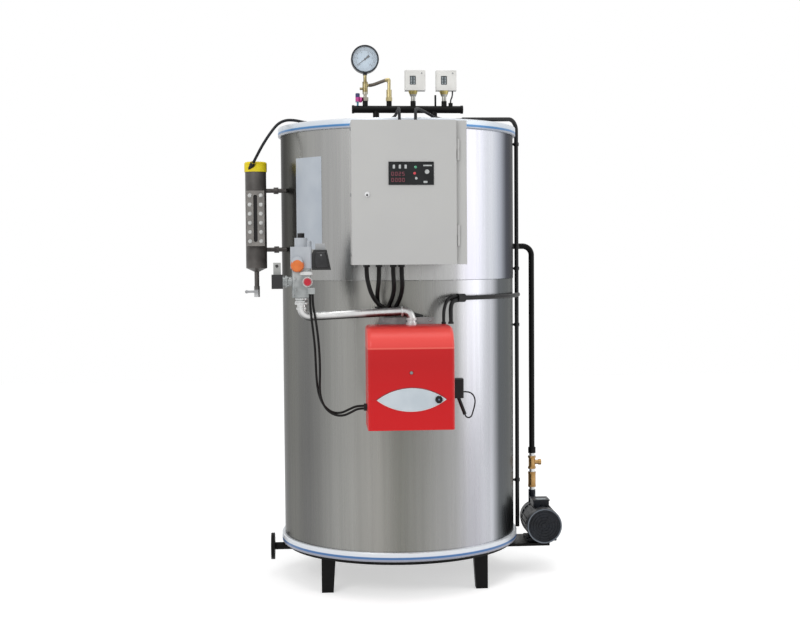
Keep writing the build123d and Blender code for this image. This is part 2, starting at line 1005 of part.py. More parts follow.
# Cam lock at the door's free edge.
lock_x = cabinet_left + lock_from_left
lock_level = cabinet_top - lock_below_top
with BuildPart() as door_lock:
    rod(lock_radius, (lock_x, door_front, lock_level), (lock_x, door_front - lock_length, lock_level))
    block(
        lock_x - lock_slot_width / 2,
        lock_x + lock_slot_width / 2,
        door_front - lock_length,
        door_front - lock_length + lock_slot_depth,
        lock_level - lock_slot_length / 2,
        lock_level + lock_slot_length / 2,
        mode=Mode.SUBTRACT,
    )
door_lock.part.label = "door_lock"
export_step(door_lock.part, "parts/door_lock.step")

# Burner cover: flat front that rolls back into the top, with its sunk screw and split line.
with BuildPart() as burner_cover:
    with BuildSketch(Plane.YZ.offset(-burner_width / 2)):
        with BuildLine():
            Line((burner_rear - burner_base_thickness, burner_bottom), (burner_face, burner_bottom))
            Line((burner_face, burner_bottom), (burner_face, burner_top - burner_shoulder))
            TangentArc(
                (burner_face, burner_top - burner_shoulder),
                (burner_face + burner_shoulder, burner_top),
                tangent=(0, 1),
            )
            Line(
                (burner_face + burner_shoulder, burner_top),
                (burner_rear - burner_base_thickness, burner_top),
            )
            Line(
                (burner_rear - burner_base_thickness, burner_top),
                (burner_rear - burner_base_thickness, burner_bottom),
            )
        make_face()
    extrude(amount=burner_width)
    front_edges = burner_cover.edges().filter_by(Axis.Z).group_by(Axis.Y)[0]
    fillet(front_edges, burner_round)
    rod(
        burner_screw_radius,
        (0, burner_face, burner_bottom + burner_screw_rise),
        (0, burner_face + burner_screw_depth, burner_bottom + burner_screw_rise),
        mode=Mode.SUBTRACT,
    )
    block(
        -burner_width / 2,
        burner_width / 2,
        burner_face,
        burner_face + burner_split,
        label_level - burner_split / 2,
        label_level + burner_split / 2,
        mode=Mode.SUBTRACT,
    )
burner_cover.part.label = "burner_cover"
export_step(burner_cover.part, "parts/burner_cover.step")

# Base plate, neck and the flange that bolts the burner to the boiler.
with BuildPart() as burner_base:
    block(
        -burner_width / 2 + burner_round,
        burner_width / 2 - burner_round,
        burner_rear - burner_base_thickness,
        burner_rear,
        burner_bottom + burner_round,
        burner_top - burner_round,
    )
    block(
        -burner_flange_width / 2,
        burner_flange_width / 2,
        burner_rear,
        burner_rear + burner_flange_thickness,
        burner_bottom + burner_flange_low,
        burner_top + burner_flange_high,
    )
    neck_level = (burner_bottom + burner_top) / 2
    neck_end = burner_neck_radius / 2 - jacket_radius
    rod(burner_neck_radius, (0, burner_rear, neck_level), (0, neck_end, neck_level))
    clear_of_jacket(jacket_radius)
burner_base.part.label = "burner_base"
export_step(burner_base.part, "parts/burner_base.step")

# Pointed oval plate on the burner's front, with the reset knob at its right.
oval_radius = ((label_length / 2) ** 2 + (label_height / 2) ** 2) / label_height
with BuildPart() as burner_label:
    with BuildSketch(facing_front(0, burner_face, label_level)):
        with Locations((0, oval_radius - label_height / 2)):
            Circle(oval_radius)
        with Locations((0, -(oval_radius - label_height / 2))):
            Circle(oval_radius, mode=Mode.INTERSECT)
    extrude(amount=label_thickness)
    rod(
        burner_knob_radius,
        (burner_knob_x, burner_face, label_level),
        (burner_knob_x, burner_face - label_thickness - burner_knob_length, label_level),
    )
burner_label.part.label = "burner_label"
export_step(burner_label.part, "parts/burner_label.step")

# Plug on the burner's right side, with the sleeve that hangs from it.
plug_front = burner_face + plug_back
with BuildPart() as burner_plug:
    block(
        burner_width / 2,
        burner_width / 2 + plug_width,
        plug_front,
        plug_front + plug_depth,
        plug_level - plug_height / 2,
        plug_level + plug_height / 2,
    )
    fillet(burner_plug.edges().filter_by(Axis.Z).group_by(Axis.X)[-1], plug_round)
    plug_middle = plug_front + plug_depth / 2
    plug_tail_start = (burner_width / 2 + plug_tail_side, plug_middle, plug_level - plug_tail_drop)
    plug_tail_end = (burner_width / 2 + plug_tail_reach, plug_middle, plug_level - plug_tail_hang)
    rod(plug_tail_radius, plug_tail_start, plug_tail_end)
burner_plug.part.label = "burner_plug"
export_step(burner_plug.part, "parts/burner_plug.step")

# Gas pipe from the valve train to the top of the burner, its two elbows banded at their ends.
gas_left_top = valve_bottom - valve_port_length
with BuildPart() as gas_pipe:
    tube(
        gas_radius,
        (
            (gas_left_x, gas_y, gas_left_top),
            (gas_left_x, gas_y, gas_left_level),
            (gas_drop_x, gas_y, gas_right_level),
            (gas_drop_x, gas_y, burner_top),
        ),
        gas_bend,
    )
    hexagon(union_radius, gas_left_x, gas_y, gas_left_top - union_length, gas_left_top)
    upright(gas_collar_radius, gas_drop_x, gas_y, burner_top, burner_top + gas_collar_length / 2)
    gas_run = Vector(gas_drop_x - gas_left_x, 0, gas_right_level - gas_left_level).normalized()
    left_ring = Vector(gas_left_x, gas_y, gas_left_level) + gas_run * gas_bend
    right_ring = Vector(gas_drop_x, gas_y, gas_right_level) - gas_run * gas_bend
    rod(elbow_ring_radius, tuple(left_ring), tuple(left_ring + gas_run * elbow_ring_length))
    rod(elbow_ring_radius, tuple(right_ring - gas_run * elbow_ring_length), tuple(right_ring))
    for ring_x, ring_low in (
        (gas_left_x, gas_left_level + gas_bend - elbow_ring_length / 2),
        (gas_drop_x, gas_right_level - gas_bend - elbow_ring_length / 2),
    ):
        upright(elbow_ring_radius, ring_x, gas_y, ring_low, ring_low + elbow_ring_length)
gas_pipe.part.label = "gas_pipe"
export_step(gas_pipe.part, "parts/gas_pipe.step")

# Cast valve body with its ports, front cap, cable box and the gas inlet at the rear.
with BuildPart() as gas_valve_body:
    block(
        gas_left_x - valve_width / 2,
        gas_left_x + valve_width / 2,
        gas_y - valve_depth / 2,
        gas_y + valve_depth / 2,
        valve_bottom,
        valve_top,
    )
    fillet(gas_valve_body.edges().filter_by(Axis.Z), valve_round)
    upright(gas_collar_radius, gas_left_x, gas_y, gas_left_top, valve_bottom)
    cap_x = gas_left_x + valve_cap_x
    cap_y = gas_y - valve_depth / 2
    cap_level = valve_bottom + valve_cap_level
    rod(valve_cap_radius, (cap_x, cap_y, cap_level), (cap_x, cap_y - valve_cap_length, cap_level))
    block(
        gas_left_x + cable_box_left,
        gas_left_x + cable_box_left + cable_box_width,
        gas_y - valve_depth / 2 - cable_box_reach,
        gas_y - valve_depth / 2 - cable_box_reach + cable_box_depth,
        valve_bottom + cable_box_low,
        valve_bottom + cable_box_low + cable_box_height,
    )
    rod(
        valve_inlet_radius,
        (gas_left_x, gas_y, valve_bottom + valve_height / 2),
        (gas_left_x, gas_y + valve_depth / 2 + valve_inlet_length, valve_bottom + valve_height / 2),
    )
    rod(
        inlet_bore_radius,
        (gas_left_x, gas_y + valve_depth / 2 + valve_inlet_length, valve_bottom + valve_height / 2),
        (gas_left_x, gas_y + valve_depth / 2, valve_bottom + valve_height / 2),
        mode=Mode.SUBTRACT,
    )
gas_valve_body.part.label = "gas_valve_body"
export_step(gas_valve_body.part, "parts/gas_valve_body.step")

# Actuator on the valve, with its round head, cap and setting knob.
actuator_top = valve_top + actuator_height
with BuildPart() as gas_valve_actuator:
    block(
        gas_left_x - actuator_width / 2,
        gas_left_x + actuator_width / 2,
        gas_y - actuator_depth / 2,
        gas_y + actuator_depth / 2,
        valve_top,
        actuator_top,
    )
    fillet(gas_valve_actuator.edges().filter_by(Axis.Z), valve_round)
    head_top = actuator_top + actuator_head_height
    upright(actuator_head_radius, gas_left_x, gas_y, actuator_top, head_top)
    upright(actuator_cap_radius, gas_left_x, gas_y, head_top, head_top + actuator_cap_height)
    rod(
        knob_radius,
        (gas_left_x + knob_x, gas_y - actuator_depth / 2, valve_top + knob_level),
        (gas_left_x + knob_x, gas_y - actuator_depth / 2 - knob_length, valve_top + knob_level),
    )
gas_valve_actuator.part.label = "gas_valve_actuator"
export_step(gas_valve_actuator.part, "parts/gas_valve_actuator.step")

# Gas pressure switch beside the actuator, with its sloped lid, grooved front and metal tab.
gas_switch_left = gas_left_x + actuator_width / 2
gas_switch_top = gas_switch_level + gas_switch_height
with BuildPart() as gas_pressure_switch:
    with BuildSketch(Plane.XZ.offset(-(gas_y + gas_switch_depth / 2))):
        with BuildLine():
            Polyline(
                (gas_switch_left, gas_switch_level),
                (gas_switch_left + gas_switch_width, gas_switch_level),
                (gas_switch_left + gas_switch_width - gas_switch_slope, gas_switch_top),
                (gas_switch_left + gas_switch_slope / 2, gas_switch_top),
                (gas_switch_left, gas_switch_top - gas_switch_slope),
                close=True,
            )
        make_face()
    extrude(amount=gas_switch_depth)
    switch_face = gas_y - gas_switch_depth / 2
    for rib in range(1, gas_switch_rib_count + 1):
        groove_low = gas_switch_level + rib * gas_switch_rib_pitch - gas_switch_groove / 2
        block(
            gas_switch_left,
            gas_switch_left + gas_switch_width,
            switch_face,
            switch_face + gas_switch_groove_depth,
            groove_low,
            groove_low + gas_switch_groove,
            mode=Mode.SUBTRACT,
        )
    block(
        gas_switch_left + gas_switch_tab_inset,
        gas_switch_left + gas_switch_tab_inset + gas_switch_tab_width,
        gas_y - gas_switch_tab_depth / 2,
        gas_y + gas_switch_tab_depth / 2,
        gas_switch_top,
        gas_switch_top + gas_switch_tab_height,
    )
gas_pressure_switch.part.label = "gas_pressure_switch"
export_step(gas_pressure_switch.part, "parts/gas_pressure_switch.step")

# Pilot solenoid on the valve's left, with its neck and plug.
pilot_right = gas_left_x - valve_width / 2 - pilot_neck_length
with BuildPart() as pilot_solenoid:
    pilot_middle = pilot_level + pilot_height / 2
    block(
        pilot_right - pilot_width,
        pilot_right,
        gas_y - pilot_depth / 2,
        gas_y + pilot_depth / 2,
        pilot_level,
        pilot_level + pilot_height,
    )
    rod(
        pilot_neck_radius,
        (pilot_right, gas_y, pilot_middle),
        (pilot_right + pilot_neck_length, gas_y, pilot_middle),
    )
    block(
        pilot_right - pilot_width / 2 - pilot_plug_width / 2,
        pilot_right - pilot_width / 2 + pilot_plug_width / 2,
        gas_y - pilot_plug_depth / 2,
        gas_y + pilot_plug_depth / 2,
        pilot_level + pilot_height,
        pilot_level + pilot_height + pilot_plug_height,
    )
pilot_solenoid.part.label = "pilot_solenoid"
export_step(pilot_solenoid.part, "parts/pilot_solenoid.step")

# Level column: a capped tube with a cone at its foot and a drain stub.
with BuildPart() as level_column:
    upright(column_radius, column_x, -column_forward, column_bottom, column_top)
    with BuildSketch(Plane((column_x, -column_forward, column_bottom))):
        Circle(column_radius)
    with BuildSketch(Plane((column_x, -column_forward, column_bottom - column_cone))):
        Circle(drain_radius)
    loft()
    upright(
        drain_radius,
        column_x,
        -column_forward,
        drain_bottom,
        column_bottom - column_cone,
    )
level_column.part.label = "level_column"
export_step(level_column.part, "parts/level_column.step")

# Cap over the column's head, with the gland of the electrode cable on its front.
with BuildPart() as column_cap:
    upright(column_cap_radius, column_x, -column_forward, column_top, column_top + column_cap_height)
    fillet(column_cap.faces().sort_by(Axis.Z)[-1].edges(), column_cap_round)
    cap_place = Vector(column_x, -column_forward, column_top)
    cap_gland_root = tuple(cap_place + Vector(*cap_gland_root_shift))
    cap_gland_end = tuple(cap_place + Vector(*cap_gland_end_shift))
    rod(cap_gland_radius, cap_gland_root, cap_gland_end)
column_cap.part.label = "column_cap"
export_step(column_cap.part, "parts/column_cap.step")

# Sight glass frame clamped to the column's front by two rows of bolts.
plate_back = -column_forward - column_radius
plate_front = plate_back - plate_thickness
plate_middle = plate_bottom + plate_height / 2
with BuildPart() as level_plate:
    block(
        column_x - plate_width / 2,
        column_x + plate_width / 2,
        plate_front,
        -column_forward,
        plate_bottom,
        plate_bottom + plate_height,
    )
    with BuildSketch(facing_front(column_x, plate_front, plate_middle)):
        SlotOverall(plate_slot_height, plate_slot_width, rotation=quarter_turn)
    extrude(amount=-plate_thickness, mode=Mode.SUBTRACT)
    with BuildSketch(facing_front(column_x, plate_front, plate_middle)):
        with GridLocations(2 * plate_bolt_spread, plate_bolt_pitch, 2, plate_bolt_rows):
            RegularPolygon(plate_bolt_radius, hex_sides)
    extrude(amount=plate_bolt_height)
    upright(
        column_radius + seat_gap,
        column_x,
        -column_forward,
        plate_bottom,
        plate_bottom + plate_height,
        mode=Mode.SUBTRACT,
    )
level_plate.part.label = "level_plate"
export_step(level_plate.part, "parts/level_plate.step")

# Glass strip in the frame's slot.
with BuildPart() as level_glass:
    with BuildSketch(facing_front(column_x, plate_back - seat_gap, plate_middle)):
        SlotOverall(plate_slot_height - 2 * seat_gap, plate_slot_width - 2 * seat_gap, rotation=quarter_turn)
    extrude(amount=glass_depth)
level_glass.part.label = "level_glass"
export_step(level_glass.part, "parts/level_glass.step")

# Two arms with unions that join the column to the boiler.
with BuildPart() as column_arms:
    jacket_edge = -jacket_y(upper_radius, column_forward)
    arm_start = column_x + column_radius / 2
    arm_middle = (column_x + column_radius + jacket_edge) / 2
    for arm_level in (arm_low_level, arm_high_level):
        rod(
            arm_radius,
            (arm_start, -column_forward, arm_level),
            (jacket_edge + column_radius, -column_forward, arm_level),
        )
        rod(
            arm_union_radius,
            (arm_middle - arm_union_length / 2, -column_forward, arm_level),
            (arm_middle + arm_union_length / 2, -column_forward, arm_level),
        )
    clear_of_jacket(upper_radius)
    upright(
        column_radius + seat_gap,
        column_x,
        -column_forward,
        column_bottom,
        column_top,
        mode=Mode.SUBTRACT,
    )
column_arms.part.label = "column_arms"
export_step(column_arms.part, "parts/column_arms.step")

# Drain cock below the column, with the stem its lever turns on.
cock_low = drain_bottom - cock_height
cock_middle = drain_bottom - cock_height / 2
stem_face = -column_forward - cock_width / 2
with BuildPart() as drain_cock:
    hexagon(cock_width / 2, column_x, -column_forward, cock_low, drain_bottom)
    rod(
        lever_stem_radius,
        (column_x, -column_forward, cock_middle),
        (column_x, stem_face - lever_stem_length, cock_middle),
    )
drain_cock.part.label = "drain_cock"
export_step(drain_cock.part, "parts/drain_cock.step")

# Lever of the drain cock, lying to the left when shut.
lever_back = stem_face - lever_stem_length
with BuildPart() as drain_lever:
    with BuildSketch(facing_front(column_x - lever_length / 2, lever_back, cock_middle)):
        SlotOverall(lever_length + lever_width, lever_width)
    extrude(amount=lever_thickness)
    rod(
        lever_knob_radius,
        (column_x - lever_length, lever_back, cock_middle),
        (column_x - lever_length, lever_back - lever_width, cock_middle),
    )
drain_lever.part.label = "drain_lever"
export_step(drain_lever.part, "parts/drain_lever.step")

# Blowdown pipe: out of the vessel's underside, under the ring and out to the left.
with BuildPart() as blowdown_pipe:
    tube(
        blowdown_radius,
        (
            (-blowdown_root, 0, jacket_bottom),
            (-blowdown_root, 0, blowdown_level),
            (-blowdown_reach, 0, blowdown_level),
        ),
        blowdown_bend,
    )
    with BuildSketch(Plane(origin=(-blowdown_reach, 0, blowdown_level), z_dir=(1, 0, 0))):
        Circle(flange_radius)
        with PolarLocations(flange_pitch_radius, flange_bolt_count, start_angle=quarter_turn / 2):
            Circle(flange_bolt_radius, mode=Mode.SUBTRACT)
    extrude(amount=flange_thickness)
    rod(
        blowdown_bore,
        (-blowdown_reach, 0, blowdown_level),
        (-blowdown_root - 2 * blowdown_bend, 0, blowdown_level),
        mode=Mode.SUBTRACT,
    )
blowdown_pipe.part.label = "blowdown_pipe"
export_step(blowdown_pipe.part, "parts/blowdown_pipe.step")

# Feed water pipe: from the jacket out to the right and down to the valves.
with BuildPart() as feed_pipe:
    jacket_side = jacket_y(upper_radius, feed_back)
    tube(
        feed_radius,
        (
            (jacket_side - coupling_radius, feed_back, feed_entry_level),
            (feed_x, feed_back, feed_entry_level),
            (feed_x, feed_back, feed_bottom),
        ),
        feed_bend,
    )
    upright(coupling_radius, feed_x, feed_back, feed_bottom - coupling_length, feed_bottom)
    clear_of_jacket(upper_radius)
feed_pipe.part.label = "feed_pipe"
export_step(feed_pipe.part, "parts/feed_pipe.step")

# Brass tee and check valve in the feed line.
tee_top = feed_bottom - coupling_length
tee_low = tee_top - tee_gap - tee_length
check_top = tee_low - tee_gap
check_low = check_top - check_length
with BuildPart() as feed_valves:
    upright(feed_radius, feed_x, feed_back, check_low - tee_gap, tee_top)
    upright(tee_radius, feed_x, feed_back, tee_low, tee_low + tee_length)
    tee_collar_high = tee_low + tee_length - tee_collar_length
    for collar_low in (tee_low, tee_collar_high, check_top - check_collar_length, check_low):
        hexagon(tee_collar_radius, feed_x, feed_back, collar_low, collar_low + tee_collar_length)
    upright(check_radius, feed_x, feed_back, check_low, check_top)
    tee_middle = tee_low + tee_length / 2
    port_end = feed_x + tee_radius + tee_port_length
    rod(tee_port_radius, (feed_x, feed_back, tee_middle), (port_end, feed_back, tee_middle))
    rod(
        tee_port_cap_radius,
        (port_end - tee_port_cap_length, feed_back, tee_middle),
        (port_end, feed_back, tee_middle),
    )
feed_valves.part.label = "feed_valves"
export_step(feed_valves.part, "parts/feed_valves.step")

# Bracket that carries the pump out from the base ring.
bracket_low = leg_height - bracket_thickness - motor_foot_height
with BuildPart() as pump_bracket:
    block(
        bracket_root,
        bracket_reach,
        -bracket_half_depth,
        bracket_half_depth,
        bracket_low,
        bracket_low + bracket_thickness,
    )
    block(
        bracket_root,
        bracket_root + bracket_pad,
        -bracket_half_depth,
        bracket_half_depth,
        bracket_low + bracket_thickness,
        leg_height,
    )
pump_bracket.part.label = "pump_bracket"
export_step(pump_bracket.part, "parts/pump_bracket.step")

# Motor lying front to back on its foot: fan hood, finned shell, end flange and terminal box.
bracket_top = bracket_low + bracket_thickness
with BuildPart() as pump_motor:
    for drum_radius, drum_front, drum_rear in (
        (motor_radius - motor_fin_height, motor_front, motor_rear),
        (motor_radius, motor_front, motor_front + motor_hood_length),
        (motor_radius, motor_rear - motor_flange_length, motor_rear),
    ):
        rod(drum_radius, (motor_x, drum_front, motor_level), (motor_x, drum_rear, motor_level))
    with BuildSketch(Plane(origin=(motor_x, motor_front + motor_hood_length, motor_level), z_dir=(0, 1, 0))):
        with PolarLocations(motor_radius - motor_fin_height, motor_fin_count):
            Rectangle(2 * motor_fin_height, motor_fin_thickness)
    extrude(amount=motor_length - motor_hood_length - motor_flange_length)
    rod(
        motor_radius - motor_rim,
        (motor_x, motor_front, motor_level),
        (motor_x, motor_front + motor_recess, motor_level),
        mode=Mode.SUBTRACT,
    )
    block(
        motor_x - motor_foot_width / 2,
        motor_x + motor_foot_width / 2,
        motor_rear - motor_foot_length - motor_rim,
        motor_rear - motor_rim,
        bracket_top,
        bracket_top + motor_foot_height,
    )
    block(
        motor_x - terminal_width / 2,
        motor_x + terminal_width / 2,
        -terminal_length / 2,
        terminal_length / 2,
        motor_level,
        motor_level + motor_radius + terminal_rise - terminal_lid,
    )
    block(
        motor_x - terminal_width / 2 - terminal_lip,
        motor_x + terminal_width / 2 + terminal_lip,
        -terminal_length / 2 - terminal_lip,
        terminal_length / 2 + terminal_lip,
        motor_level + motor_radius + terminal_rise - terminal_lid,
        motor_level + motor_radius + terminal_rise,
    )
pump_motor.part.label = "pump_motor"
export_step(pump_motor.part, "parts/pump_motor.step")

# Pump casing behind the motor, with its discharge under the check valve and its suction at the rear.
with BuildPart() as pump_casing:
    rod(
        casing_radius,
        (motor_x, motor_rear, motor_level),
        (motor_x, motor_rear + casing_length, motor_level),
    )
    upright(discharge_radius, feed_x, feed_back, motor_level, check_low - tee_gap)
    rod(
        suction_radius,
        (motor_x, motor_rear + casing_length, motor_level),
        (motor_x, motor_rear + casing_length + suction_length, motor_level),
    )
    rod(
        suction_bore,
        (motor_x, motor_rear + casing_length + suction_length, motor_level),
        (motor_x, motor_rear + casing_length, motor_level),
        mode=Mode.SUBTRACT,
    )
pump_casing.part.label = "pump_casing"
export_step(pump_casing.part, "parts/pump_casing.step")

# Cable conduit with stand-off clips, bent over the trim at the top.
with BuildPart() as conduit_riser:
    tube(
        conduit_radius,
        (
            (conduit_x, 0, conduit_bottom),
            (conduit_x, 0, conduit_top),
            (conduit_end_x, conduit_end_y, conduit_end_level),
        ),
        conduit_bend,
    )
    for clip_level in clip_levels:
        upright(clip_radius, conduit_x, 0, clip_level, clip_level + clip_length)
        rod(
            clip_stem_radius,
            (jacket_radius - clip_radius, 0, clip_level + clip_length / 2),
            (conduit_x, 0, clip_level + clip_length / 2),
        )
    upright(upper_radius + seat_gap, 0, 0, jacket_bottom, jacket_top, mode=Mode.SUBTRACT)
conduit_riser.part.label = "conduit_riser"
export_step(conduit_riser.part, "parts/conduit_riser.step")

# Branch that follows the jacket round to the front above the burner, on clips of its own.
branch_start_angle = -degrees((conduit_radius + seat_gap) / conduit_x)
branch_turn = branch_end_angle - branch_start_angle
branch_end = Vector(cos(radians(branch_end_angle)), sin(radians(branch_end_angle))) * conduit_x
branch_along = Vector(sin(radians(branch_end_angle)), -cos(radians(branch_end_angle)))
nose_end = branch_end + branch_along * branch_nose
gland_start = nose_end - branch_along * branch_gland_length
with BuildPart() as conduit_branch:
    with BuildLine() as branch_route:
        CenterArc((0, 0, branch_level), conduit_x, branch_start_angle, branch_turn)
    with BuildSketch(Plane(origin=branch_route.line @ 0, z_dir=branch_route.line % 0)):
        Circle(branch_radius)
    sweep()
    rod(
        branch_radius,
        (branch_end.X, branch_end.Y, branch_level),
        (nose_end.X, nose_end.Y, branch_level),
    )
    rod(
        branch_gland_radius,
        (gland_start.X, gland_start.Y, branch_level),
        (nose_end.X, nose_end.Y, branch_level),
    )
    for clip_angle in branch_clip_angles:
        along_x = cos(radians(clip_angle))
        along_y = sin(radians(clip_angle))
        clip_root = jacket_radius - clip_radius
        rod(
            clip_stem_radius,
            (clip_root * along_x, clip_root * along_y, branch_level),
            (conduit_x * along_x, conduit_x * along_y, branch_level),
        )
    clear_of_jacket(jacket_radius)
conduit_branch.part.label = "conduit_branch"
export_step(conduit_branch.part, "parts/conduit_branch.step")

# Two short flexible conduits from the branch's gland down to the top of the burner.
flex_floor = burner_top + flex_gland_height
with BuildPart() as burner_conduits:
    for flex_radius, flex_level, flex_foot, flex_shares in (
        (
            thin_flex_radius,
            branch_level + thin_flex_rise,
            thin_flex_gland,
            thin_flex_shares,
        ),
        (
            thick_flex_radius,
            branch_level - thick_flex_drop,
            thick_flex_gland,
            thick_flex_shares,
        ),
    ):
        flex_start = (nose_end.X, nose_end.Y, flex_level)
        flex_out = beyond((branch_end.X, branch_end.Y, flex_level), flex_start, flex_lead)
        flex_in = (*flex_foot, flex_floor + 2 * flex_gland_height)
        flex_points = [
            flex_start,
            flex_out,
            *[part_way(flex_out, flex_in, share) for share in flex_shares],
            flex_in,
            (*flex_foot, flex_floor),
        ]
        tube(flex_radius, flex_points, bend_radii(flex_points))
burner_conduits.part.label = "burner_conduits"
export_step(burner_conduits.part, "parts/burner_conduits.step")

# Glands: under and on the cabinet, on the burner, and where cables pass into the jacket.
with BuildPart() as cable_glands:
    for gland_x in bottom_gland_xs:
        hexagon(
            bottom_gland_radius,
            gland_x,
            bottom_gland_y,
            cabinet_bottom - bottom_gland_height,
            cabinet_bottom,
        )
    for gland_x in top_gland_xs:
        hexagon(top_gland_radius, gland_x, top_gland_y, cabinet_top, cabinet_top + top_gland_height)
    upright(thin_flex_gland_radius, *thin_flex_gland, burner_top, flex_floor)
    upright(thick_flex_gland_radius, *thick_flex_gland, burner_top, flex_floor)
    rod(
        side_gland_radius,
        (-burner_width / 2, side_gland_y, side_gland_level),
        (-burner_width / 2 - side_gland_length, side_gland_y, side_gland_level),
    )
    block(
        entry_left,
        entry_right,
        -jacket_radius - entry_stand,
        -jacket_y(jacket_radius, entry_left),
        entry_low,
        entry_high,
    )
    boot_along = Vector(*boot_end) - Vector(*boot_start)
    with BuildSketch(Plane(origin=boot_start, z_dir=boot_along)):
        Circle(boot_wide_radius)
    with BuildSketch(Plane(origin=boot_end, z_dir=boot_along)):
        Circle(boot_narrow_radius)
    loft()
    clear_of_jacket(jacket_radius)
cable_glands.part.label = "cable_glands"
export_step(cable_glands.part, "parts/cable_glands.step")

# Four cables under the cabinet: one to the boot beside the gas pipe, three through the entry plate.
bottom_gland_level = cabinet_bottom - bottom_gland_height
entry_face = -jacket_radius - entry_stand
save_cord(
    "cabinet_cable_1",
    cabinet_cable_radius,
    (
        (-160, bottom_gland_y, bottom_gland_level),
        (-160, -640, 1311),
        (-153, -633, 1276),
        (-142, -620, 1240),
        (-124, -604, 1209),
        (-98, -592, 1186),
        (-65, -588, 1170),
        beyond(boot_end, boot_start, boot_lead),
        boot_start,
    ),
)
save_cord(
    "cabinet_cable_2",
    cabinet_cable_radius,
    (
        (-112, bottom_gland_y, bottom_gland_level),
        (-112, -640, 1311),
        (-114, -630, 1276),
        (-118, -610, 1244),
        (-117, -585, 1215),
        (-109, -560, 1189),
        (-102, -534, 1169),
        (-102, entry_face, 1169),
    ),
)
save_cord(
    "cabinet_cable_3",
    cabinet_cable_radius,
    (
        (-57, bottom_gland_y, bottom_gland_level),
        (-57, -640, 1311),
        (-53, -628, 1276),
        (-54, -608, 1244),
        (-61, -585, 1214),
        (-72, -560, 1187),
        (-76, -533, 1169),
        (-76, entry_face, 1169),
    ),
)
save_cord(
    "cabinet_cable_4",
    cabinet_cable_radius,
    (
        (-24, bottom_gland_y, bottom_gland_level),
        (-24, -640, 1311),
        (-20, -628, 1276),
        (-22, -608, 1244),
        (-30, -585, 1214),
        (-42, -560, 1187),
        (-50, -533, 1169),
        (-50, entry_face, 1169),
    ),
)

# Twin cables from the gas valve down past the pipe and into the burner's left side.
valve_cable_top = valve_bottom + cable_box_low
side_gland_end = -burner_width / 2 - side_gland_length
save_cord(
    "valve_cable_1",
    valve_cable_radius,
    (
        (-379, -664, valve_cable_top),
        (-379, -664, 1202),
        (-375, -666, 1152),
        (-368, -669, 1095),
        (-362, -671, 1035),
        (-360, -673, 976),
        (-358, -676, 925),
        (-354, -679, 880),
        (-345, -682, 841),
        (-327, -685, 808),
        (-298, -688, 786),
        (-264, -690, 784),
        (-234, -690, 798),
        (-205, -690, 811),
        (side_gland_end, -690, 811),
    ),
)
save_cord(
    "valve_cable_2",
    valve_cable_radius,
    (
        (-369, -664, valve_cable_top),
        (-369, -664, 1204),
        (-361, -668, 1160),
        (-353, -673, 1105),
        (-347, -678, 1045),
        (-344, -683, 985),
        (-344, -687, 930),
        (-346, -690, 880),
        (-341, -694, 839),
        (-324, -698, 803),
        (-294, -701, 779),
        (-258, -702, 774),
        (-226, -702, 788),
        (-201, -702, 802),
        (side_gland_end, -702, 802),
    ),
)

# Electrode cable: from the column's cap over the rim, across the cover and down into the cabinet.
top_gland_level = cabinet_top + top_gland_height
save_cord(
    "column_cable",
    top_cable_radius,
    (
        cap_gland_end,
        beyond(cap_gland_root, cap_gland_end, column_cable_lead),
        (-577, -234, 1836),
        (-556, -222, 1872),
        (-533, -200, 1908),
        (-508, -178, 1941),
        (-475, -164, 1958),
        (-434, -160, 1957),
        (-392, -168, 1946),
        (-345, -183, 1941),
        (-285, -198, 1940),
        (-215, -215, 1940),
        (-140, -240, 1940),
        (-80, -285, 1941),
        (-48, -345, 1942),
        (-34, -410, 1946),
        (-28, -465, 1956),
        (-26, -505, 1963),
        (-26, -538, 1964),
        (-26, -566, 1964),
        (-26, -587.5, 1951.5),
        (-26, top_gland_y, 1930),
        (-26, top_gland_y, top_gland_level),
    ),
)

# Cable from the end of the riser, under the header and over the rim into the cabinet.
conduit_end = (conduit_end_x, conduit_end_y, conduit_end_level)
save_cord(
    "header_cable",
    top_cable_radius,
    (
        conduit_end,
        beyond((conduit_x, 0, conduit_top), conduit_end, header_cable_lead),
        (209, -290, 1947),
        (181, -328, 1943),
        (151, -372, 1943),
        (121, -415, 1948),
        (94, -456, 1957),
        (70, -494, 1964),
        (53, -530, 1966),
        (43, -564, 1964),
        (38, -587, 1951.5),
        (37, top_gland_y, 1930),
        (37, top_gland_y, top_gland_level),
    ),
)

# Thin wire that loops from the plug back to the end of its sleeve.
save_cord(
    "plug_wire",
    plug_wire_radius,
    (
        (burner_width / 2 + plug_width, plug_middle, 852),
        (229, plug_middle, 852),
        (243, -621, 849),
        (254, -623, 841),
        (261, -624, 827),
        (262, -624, 808),
        (258, -624, 789),
        (253, -623, 772),
        (249.3, -621, 758.5),
        (244.3, -620, 752.2),
        (237.4, -620, 749.6),
        (230.3, -620, 750.9),
        beyond(plug_tail_start, plug_tail_end, plug_wire_lead),
        plug_tail_end,
    ),
)

# Lead from the right switch down to the header's gland.
lead_x = switch_right_x + switch_shift + lead_shift
save_cord(
    "switch_lead",
    switch_lead_radius,
    (
        (lead_x, header_y, switch_bottom),
        (lead_x, header_y, switch_bottom - lead_straight),
        (lead_x - lead_sway, header_y, switch_bottom - lead_sag),
        (lead_gland_x, header_y, header_crown + lead_gland_height + lead_straight - lead_sway),
        (lead_gland_x, header_y, header_crown + lead_gland_height),
    ),
)

